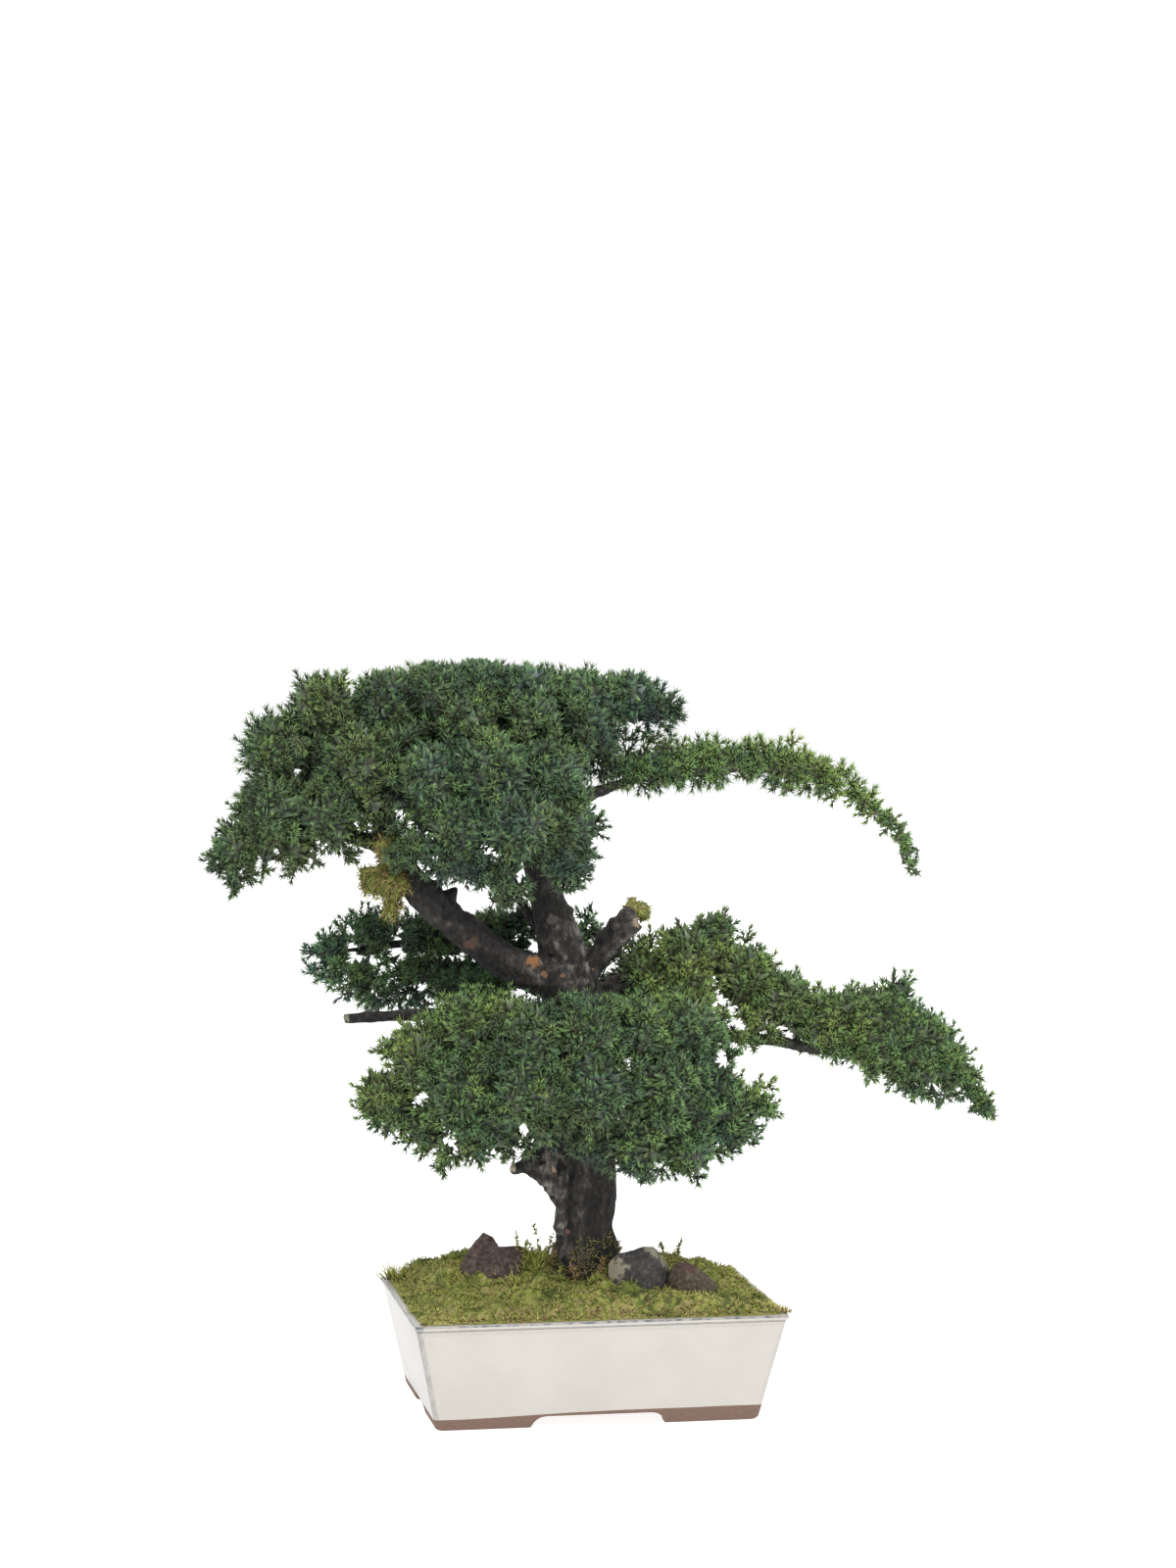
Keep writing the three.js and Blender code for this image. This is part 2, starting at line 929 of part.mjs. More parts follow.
// The soil below its surface, shaped to the inside of the pot
function makeSoil() {
  const filling = gridSolid(insideX(POT_HEIGHT), insideY(POT_HEIGHT), () => 0, soilHeight);
  const inside = (z) => outline(insideX(z) - GAP, insideY(z) - GAP, POT_CORNER - 1, z);
  const room = loft([inside(FLOOR_TOP + GAP), inside(POT_HEIGHT + 40)]);
  return filling.intersect(room);
}

// The moss over the soil: a rough carpet that creeps onto the lip
function makeMossBed() {
  const random = randomFrom(77);
  const halfX = insideX(POT_HEIGHT) + MOSS_LIP;
  const halfY = insideY(POT_HEIGHT) + MOSS_LIP;
  const top = (x, y, column, row) => {
    const onRim = column === 0 || row === 0 || column === BED_CELLS[0] || row === BED_CELLS[1];
    const base = soilHeight(x, y) + MOSS_THICK;
    const rough = (random() * 2 - 1) * MOSS_ROUGH;
    const least = POT_HEIGHT + MOSS_RIM;
    return onRim ? least + random() * MOSS_RIM_ROUGH : Math.max(base + rough, least);
  };
  const carpet = gridSolid(halfX, halfY, () => SOIL_EDGE - 2, top);
  const overSoil = (x, y) => soilHeight(x, y) + GAP;
  const soilRoom = gridSolid(insideX(POT_HEIGHT), insideY(POT_HEIGHT), () => 0, overSoil);
  const inside = (z, out) => outline(insideX(z) + out, insideY(z) + out, POT_CORNER - 1, z);
  const lipZ = POT_HEIGHT + GAP;
  const room = loft([
    inside(SOIL_EDGE - 4, -GAP),
    inside(lipZ, -GAP),
    inside(lipZ + 0.05, MOSS_LIP + 4),
    inside(POT_HEIGHT + 60, MOSS_LIP + 4),
  ]);
  return carpet.intersect(room).subtract(soilRoom);
}

// Angular stone: the hull of each block's corners, pushed out from its middle by extra
function makeRock({ blocks }, extra) {
  const hulls = blocks.map((corners) => {
    const centre = corners.reduce((sum, corner) => sum.add(vector(corner)), new THREE.Vector3());
    centre.divideScalar(corners.length);
    const pushed = corners.map((corner) => {
      const point = vector(corner);
      const out = point.clone().sub(centre).normalize();
      return point.addScaledVector(out, extra * ROCK_ROOM).toArray();
    });
    return wasm.Manifold.hull(pushed);
  });
  return unite(hulls);
}

// Rough ball, its vertices moved in or out by a seeded share of the radius
function lumpSolid([x, y, z], radius, rough, seed) {
  const random = randomFrom(seed);
  const merged = welded(new THREE.SphereGeometry(1, 6, 3));
  const position = merged.attributes.position;
  const turn = new THREE.Euler(random() * 6, random() * 6, random() * 6);
  const point = new THREE.Vector3();
  for (let i = 0; i < position.count; i += 1) {
    point.fromBufferAttribute(position, i).applyEuler(turn);
    point.multiplyScalar(radius * (1 + (random() * 2 - 1) * rough));
    position.setXYZ(i, point.x + x, point.y + y, point.z + z);
  }
  return solidOf(merged);
}

// Branch of round section along a smooth centre line, grown by extra on every side
function branchSolid(path, sides, extra, flute = BARK_FLUTE, relief = 0) {
  const curve = new THREE.CatmullRomCurve3(path.map(vector));
  const steps = path.length - 1;
  const samples = [];
  for (let i = 0; i <= steps; i += 1) {
    samples.push({
      centre: curve.getPoint(i / steps),
      tangent: curve.getTangent(i / steps),
      radius: path[i][3] + extra,
    });
  }
  samples[0].centre.addScaledVector(samples[0].tangent, -extra);
  samples[steps].centre.addScaledVector(samples[steps].tangent, extra);
  const normal = new THREE.Vector3(0, 1, 0.01).cross(samples[0].tangent).normalize();
  const rings = samples.map(({ centre, tangent, radius }, level) => {
    normal.addScaledVector(tangent, -normal.dot(tangent)).normalize();
    const side = new THREE.Vector3().crossVectors(tangent, normal);
    const ring = [];
    for (let i = 0; i < sides; i += 1) {
      const angle = (i / sides) * Math.PI * 2;
      const reach = radius * (1 + flute * Math.cos(3 * angle + level * 0.5));
      const point = centre.clone().addScaledVector(normal, reach * Math.cos(angle));
      ring.push(point.addScaledVector(side, reach * Math.sin(angle)));
    }
    return ring;
  });
  return loft(rings, relief);
}

const sidesFor = (path) => (path[0][3] > 15 ? 8 : path[0][3] > 9 ? 6 : 5);

function makeWood(extra) {
  const stems = [branchSolid(TRUNK, 10, extra, TRUNK_FLUTE), branchSolid(BUTTRESS, 8, extra)];
  for (const path of Object.values(LIMBS)) {
    stems.push(branchSolid(path, sidesFor(path), extra));
  }
  return unite(stems);
}

// Sprig on a small triangle: a three-sided twig whose side faces are each raised to a needle's point
function sprigParts(base, direction, extra) {
  const centre = base[0].clone().add(base[1]).add(base[2]).divideScalar(3);
  const spokes = base.map((point) => point.clone().sub(centre));
  const radius = spokes[0].length();
  const ringAt = (level) => {
    const size = (TWIG_TAPER ** level * radius + extra) / radius;
    return spokes.map((spoke) => {
      const turned = spoke.clone().applyAxisAngle(direction, (level * Math.PI) / 3);
      const point = centre.clone().addScaledVector(direction, level * WHORL_STEP);
      return point.addScaledVector(turned, size);
    });
  };
  const points = Array.from({ length: WHORLS + 1 }, (_, level) => ringAt(level)).flat();
  const faces = [];
  const raise = (a, b, c) => {
    const tip = points[a].clone().add(points[b]).add(points[c]).divideScalar(3);
    const out = tip.clone().sub(centre);
    out.addScaledVector(direction, -out.dot(direction)).normalize();
    tip.addScaledVector(out, (NEEDLE + extra) * Math.sin(NEEDLE_LEAN));
    tip.addScaledVector(direction, (NEEDLE + extra) * Math.cos(NEEDLE_LEAN));
    const index = points.push(tip) - 1;
    faces.push([a, b, index], [b, c, index], [c, a, index]);
  };
  for (let level = 0; level < WHORLS; level += 1) {
    for (let i = 0; i < 3; i += 1) {
      const here = level * 3 + i;
      const next = level * 3 + ((i + 1) % 3);
      raise(here, next, here + 3);
      raise(next, next + 3, here + 3);
    }
  }
  const last = WHORLS * 3;
  const reach = WHORLS * WHORL_STEP + TWIG_TIP + extra;
  const tip = points.push(centre.clone().addScaledVector(direction, reach)) - 1;
  faces.push([last, last + 1, tip], [last + 1, last + 2, tip], [last + 2, last, tip]);
  return { points, faces };
}

const closed = ({ points, faces }) => solidFrom(points, [...faces, [0, 2, 1]]);

const coreRadius = (lump) => Math.max(lump[3] - SPRIG_REACH, SLIM_CORE);

// Distance from a centre, along a direction, to the far side of the lumps
function farSide(lumps, centre, direction) {
  let far = 0;
  for (const lump of lumps) {
    const radius = coreRadius(lump) * CORE_SWELL;
    const offset = vector(lump).sub(centre);
    const along = offset.dot(direction);
    const missSquared = offset.lengthSq() - along * along;
    if (missSquared < radius * radius) {
      far = Math.max(far, along + Math.sqrt(radius * radius - missSquared));
    }
  }
  return far;
}

// Core of a rounded pad: a closed surface drawn round its lumps from their middle, each face of it
// raised to a clump
function roundedCore({ lumps }, seed, extra) {
  const random = randomFrom(seed);
  const bounds = new THREE.Box3();
  for (const lump of lumps) {
    bounds.expandByPoint(vector(lump));
  }
  const centre = bounds.getCenter(new THREE.Vector3());
  const half = bounds.getSize(new THREE.Vector3()).multiplyScalar(0.5).addScalar(CORE_MARGIN);
  const least = Math.min(half.x, half.y, half.z) / 2;
  const merged = welded(new THREE.IcosahedronGeometry(1, 1));
  const corners = Array.from({ length: merged.attributes.position.count }, (_, i) =>
    new THREE.Vector3().fromBufferAttribute(merged.attributes.position, i),
  );
  const surfacePoint = (onBall, depth) => {
    const direction = onBall.clone().multiply(half).normalize();
    const rough = 1 + (random() * 2 - 1) * CORE_ROUGH;
    const reach = Math.max(farSide(lumps, centre, direction), least) * rough - depth + extra;
    return direction.multiplyScalar(reach).add(centre);
  };
  const points = corners.map((corner) => surfacePoint(corner, CORE_RELIEF));
  const faces = [];
  const index = merged.index.array;
  for (let i = 0; i < index.length; i += 3) {
    const [a, b, c] = index.slice(i, i + 3);
    const onBall = corners[a].clone().add(corners[b]).add(corners[c]).normalize();
    const top = points.push(surfacePoint(onBall, 0)) - 1;
    faces.push([a, b, top], [b, c, top], [c, a, top]);
  }
  return solidFrom(points, faces);
}

// Core of a pad: a rounded body, an arm along its lumps, or either with side stems
function coreSolid(pad, seed, extra) {
  const size = (lump) => coreRadius(lump) / (1 + ARM_RELIEF / 2);
  const stem = (lumps) => {
    const path = lumps.map((lump) => [...lump.slice(0, 3), size(lump)]);
    return branchSolid(path, ARM_SIDES, extra, CORE_ROUGH, ARM_RELIEF);
  };
  const body = pad.arm ? stem(pad.lumps) : roundedCore(pad, seed, extra);
  return unite([body, ...(pad.sideStems ?? []).map(stem)]);
}

const overlaps = (a, boxA, b, boxB) => boxA.intersectsBox(boxB) && a.intersect(b).volume() > 0;

// Sprigs grown from the faces of a pad's core, clear of each other and of everything in the way
function growSprigs(core, centre, obstacles) {
  const { vertProperties, triVerts } = core.getMesh();
  const corner = (i) => new THREE.Vector3().fromArray(vertProperties, i * 3);
  const points = Array.from({ length: vertProperties.length / 3 }, (_, i) => corner(i));
  const faces = [];
  for (let i = 0; i < triVerts.length; i += 3) {
    faces.push([triVerts[i], triVerts[i + 1], triVerts[i + 2]]);
  }
  const candidates = faces.map((face, index) => {
    const [a, b, c] = face.map((i) => points[i]);
    const sides = [b.distanceTo(c), c.distanceTo(a), a.distanceTo(b)];
    const around = sides[0] + sides[1] + sides[2];
    const cross = b.clone().sub(a).cross(c.clone().sub(a));
    const inscribed = cross.length() / around;
    const middle = a.clone().multiplyScalar(sides[0] / around);
    middle.addScaledVector(b, sides[1] / around).addScaledVector(c, sides[2] / around);
    const normal = cross.normalize();
    const size = Math.min(TWIG_RADIUS, inscribed * TWIG_SHARE);
    const base = [a, b, c].map((p) => p.clone().sub(middle).setLength(size).add(middle));
    return { index, base, normal, inscribed, middle, outlying: middle.distanceTo(centre) };
  });
  candidates.sort((first, second) => second.outlying - first.outlying);
  const placed = [];
  for (const { index, base, normal, inscribed, middle } of candidates) {
    const crowded = placed.some((other) => other.middle.distanceTo(middle) < SPRIG_SPACING);
    if (inscribed < LEAST_FACE || crowded) {
      continue;
    }
    const parts = sprigParts(base, normal, 0);
    const wide = closed(sprigParts(base, normal, GAP));
    const box = boxOf(wide);
    const raised = closed(parts).translate(normal.clone().multiplyScalar(GAP / 2).toArray());
    const blocked =
      raised.intersect(core).volume() > 0 ||
      obstacles.some((other) => overlaps(wide, box, other.solid, other.box)) ||
      placed.some((other) => overlaps(wide, box, other.solid, other.box));
    if (!blocked) {
      placed.push({ solid: closed(parts), box, middle, parts, index });
    }
  }
  const grafted = faces.map((face) => [face]);
  for (const { parts, index } of placed) {
    const start = points.length;
    points.push(...parts.points);
    const [a, b, c] = faces[index];
    const [p, q, r] = [start, start + 1, start + 2];
    grafted[index] = [
      [a, b, q],
      [a, q, p],
      [b, c, r],
      [b, r, q],
      [c, a, p],
      [c, p, r],
      ...parts.faces.map((face) => face.map((i) => i + start)),
    ];
  }
  return { solid: solidFrom(points, grafted.flat()), placed };
}

const obstacle = (solid) => ({ solid, box: boxOf(solid) });

// Everything that the pads grow round
const wood = makeWood(0);
const woodRoom = makeWood(GAP);
const rocks = ROCKS.map((rock) => ({ ...rock, solid: makeRock(rock, 0) }));
const rockRoom = unite(ROCKS.map((rock) => makeRock(rock, GAP)));
const pot = makePot();
const screens = [makeScreen(-DRAIN_OFFSET), makeScreen(DRAIN_OFFSET)];
const screenRoom = [-DRAIN_OFFSET, DRAIN_OFFSET].map((x) =>
  block(x, 0, FLOOR_TOP + GAP, SCREEN_SIZE + 2 * GAP, SCREEN_SIZE + 2 * GAP, 2 * (SCREEN_THICK + GAP)),
);
let soil = makeSoil().subtract(woodRoom).subtract(rockRoom);
soil = largestBody(soil.subtract(screenRoom[0]).subtract(screenRoom[1]));
const mossBed = largestBody(makeMossBed().subtract(woodRoom).subtract(rockRoom));

// Moss tufts on the wood
const tufts = WOOD_MOSS.map(({ name, lumps }, index) => {
  const tuftAt = (extra) =>
    unite(lumps.map((lump, i) => lumpSolid(lump, lump[3] + extra, TUFT_ROUGH, 900 + index * 40 + i)));
  return { name, solid: largestBody(tuftAt(0).subtract(woodRoom)), room: tuftAt(GAP) };
});

// Cores, each cut clear of the wood, the moss and the pads before it
const rooms = tufts.map((tuft) => tuft.room);
const pads = PADS.map((pad, index) => {
  const seed = 100 + index * 50;
  let core = coreSolid(pad, seed, 0).subtract(woodRoom);
  for (const room of rooms) {
    core = core.subtract(room);
  }
  rooms.push(coreSolid(pad, seed, CORE_GAP));
  return { ...pad, core: largestBody(core) };
});

// Sprigs, pad by pad
const firm = [wood, mossBed, pot, ...rocks.map((rock) => rock.solid), ...tufts.map((tuft) => tuft.solid)];
const firmObstacles = firm.map(obstacle);
const coreObstacles = pads.map((pad) => obstacle(pad.core));
const grown = [];
const foliage = pads.map((pad, index) => {
  const others = coreObstacles.filter((_, other) => other !== index);
  const centre = boxOf(pad.core).getCenter(new THREE.Vector3());
  const obstacles = [...firmObstacles, ...others, ...grown];
  const { solid, placed } = growSprigs(pad.core, centre, obstacles);
  grown.push(...placed);
  return { name: pad.name, colour: pad.colour, solid };
});

// Mesh of one named piece
function meshOf(name, solid, colour, roughness) {
  const { vertProperties, triVerts } = solid.getMesh();
  const geometry = new THREE.BufferGeometry();
  geometry.setAttribute("position", new THREE.BufferAttribute(vertProperties, 3));
  geometry.setIndex(new THREE.BufferAttribute(triVerts, 1));
  geometry.computeVertexNormals();
  const material = new THREE.MeshStandardMaterial({ color: colour, roughness, metalness: 0 });
  const mesh = new THREE.Mesh(geometry, material);
  mesh.name = name;
  return mesh;
}

const bonsai = new THREE.Group();
bonsai.add(meshOf("pot", pot, COLOURS.glaze, 0.25));
bonsai.add(meshOf("drain_screen_left", screens[0], COLOURS.screen, 0.6));
bonsai.add(meshOf("drain_screen_right", screens[1], COLOURS.screen, 0.6));
bonsai.add(meshOf("soil", soil, COLOURS.soil, 0.95));
bonsai.add(meshOf("moss_bed", mossBed, COLOURS.moss, 0.95));
for (const { name, solid, colour } of rocks) {
  bonsai.add(meshOf(name, solid, COLOURS[colour], 0.8));
}
bonsai.add(meshOf("trunk", wood, COLOURS.bark, 0.85));
for (const { name, solid } of tufts) {
  bonsai.add(meshOf(name, solid, COLOURS.moss, 0.95));
}
for (const { name, solid, colour } of foliage) {
  bonsai.add(meshOf(name, solid, COLOURS[colour], 0.6));
}

// The whole stands with the middle of its footprint on the origin
const extent = new THREE.Box3().setFromObject(bonsai);
const middle = extent.getCenter(new THREE.Vector3());
bonsai.position.set(-middle.x, -middle.y, 0);

export default bonsai;
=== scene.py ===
"""Looks of a juniper bonsai in a glazed tray pot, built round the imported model."""
import math

import bpy
import numpy as np
from mathutils import Matrix, Vector


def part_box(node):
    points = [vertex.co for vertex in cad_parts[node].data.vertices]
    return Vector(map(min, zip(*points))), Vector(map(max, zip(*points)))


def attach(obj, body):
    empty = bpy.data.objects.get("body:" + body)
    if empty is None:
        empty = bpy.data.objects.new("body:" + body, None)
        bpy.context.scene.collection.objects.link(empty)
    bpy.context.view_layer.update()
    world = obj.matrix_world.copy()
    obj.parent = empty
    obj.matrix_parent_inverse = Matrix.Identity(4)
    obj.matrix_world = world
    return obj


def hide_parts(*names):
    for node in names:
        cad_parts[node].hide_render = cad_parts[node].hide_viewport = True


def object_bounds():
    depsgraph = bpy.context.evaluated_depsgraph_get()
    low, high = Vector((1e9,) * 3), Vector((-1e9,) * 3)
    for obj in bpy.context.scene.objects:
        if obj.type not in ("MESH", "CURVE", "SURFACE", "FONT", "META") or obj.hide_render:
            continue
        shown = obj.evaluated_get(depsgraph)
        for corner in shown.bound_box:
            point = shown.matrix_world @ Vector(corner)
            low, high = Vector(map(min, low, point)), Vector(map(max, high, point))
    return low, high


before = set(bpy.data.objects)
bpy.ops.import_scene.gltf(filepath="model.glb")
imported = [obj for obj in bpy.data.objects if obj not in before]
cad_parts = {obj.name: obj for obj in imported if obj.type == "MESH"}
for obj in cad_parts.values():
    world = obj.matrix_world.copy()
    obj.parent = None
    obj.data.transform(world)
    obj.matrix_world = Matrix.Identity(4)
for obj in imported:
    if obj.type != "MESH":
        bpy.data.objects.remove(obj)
cad_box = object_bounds()

MM = 0.001
UP = np.array([0.0, 0.0, 1.0])

# The lists below are in mm from the middle of the pot, as in the part's source
pot_low, pot_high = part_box("pot")
POT_MIDDLE = np.array([(pot_low.x + pot_high.x) / 2, (pot_low.y + pot_high.y) / 2, 0.0])

# Camera, in degrees, pixels and mm
AZIMUTH = -11.4
ELEVATION = 4.5
ROLL = 0.7
DISTANCE = 3061
LOOKS_AT = [0.9, 0, 516.2]
FOCAL_PIXELS = 3800
IMAGE_HEIGHT = 1600
SENSOR = 36

# Tufts of needles
NEEDLE_LENGTH = 7.4
NEEDLE_WIDTH = 1.9
NEEDLE_THICK = 0.8
NEEDLE_LEANS = (58, 34)  # degrees between needle and twig, at a sprig's root and tip
TIP_LEAN = 0.36  # in radians, of the needles that close a sprig
TIP_LENGTH = 0.76  # of the same needles, as a share of NEEDLE_LENGTH
WHORL_STEP = 2.4
TWIG_TINT = 0.985  # place of the twigs' colour on the needles' colour scale
# Painted light and shade that differs from sprig to sprig and from needle to needle
SPRIG_LIGHT = (0.46, 1.04)
NEEDLE_LIGHT = (0.6, 1.2)  # as a share of the sprig's light
ROOT_SPREAD = 0.012  # half the width of a needle's root on its map
# Each size of tuft: whorls on the leading sprig, side sprigs, whorls on each, spacing, height, how
# freely the tufts lean and how much they follow the clumps' relief
TUFT_SIZES = {
    "full": {"lead": 6, "sides": 3, "side_whorls": (3, 5), "spacing": 14.0, "height": 22,
             "loose": 1, "relief": 1.0},
    "medium": {"lead": 5, "sides": 3, "side_whorls": (2, 4), "spacing": 11.0, "height": 17,
               "loose": 0.85, "relief": 0.4},
    "small": {"lead": 4, "sides": 2, "side_whorls": (2, 3), "spacing": 9.0, "height": 14,
              "loose": 0.4, "relief": 0.4},
}
FULL_FROM = 24  # least radius of a lump that bears full tufts
MEDIUM_FROM = 15
TUFT_KINDS = 12  # different tufts of each size
LUMP_BLEND = 10  # how softly the lumps run into each other
END_AREA = 30  # skin of a lump for each place that is tried for a tuft's end
FEWEST_ENDS = 14
DEEPEST_END = 2  # a tuft's end further inside another lump isn't used
TUFT_RISE = 0.45  # how much a tuft turns upwards, and at random, from the way out of its lump
TUFT_SCATTER = 0.32
TUFT_REACH = (-3, 3)  # how far a tuft's end stands out of its lump
UNDERSIDE_SPACING = 1.2  # tufts stand further apart there
LEADERS = 0.3  # share of tufts that stand out further, by LEADER_REACH
LEADER_REACH = (2, 5)
CLUMP_WIDTH = 17  # the foliage swells and sinks in clumps of about this size
CLUMP_RELIEF = 5
ARM_CLUMP_WIDTH = 15  # the same on the upper arm, where the clumps stand further apart
ARM_RELIEF = 13
CORE_DEPTH = 14.5  # from the needle tips down to the inner foliage of a pad
SPARSE_DEPTH = 20  # the same in the lumps of a sparse pad
SLIM_CORE = 3  # least radius of the inner foliage
CORE_BLEND = 6
CORE_VOXEL = 4.5
CORE_SWELL = 3
CORE_ROUGH = 1.6
SPIKES = (4, 10)  # length of the inner foliage's needles
TINT_SPAN = (0.02, 0.93)  # the needles' part of their colour scale
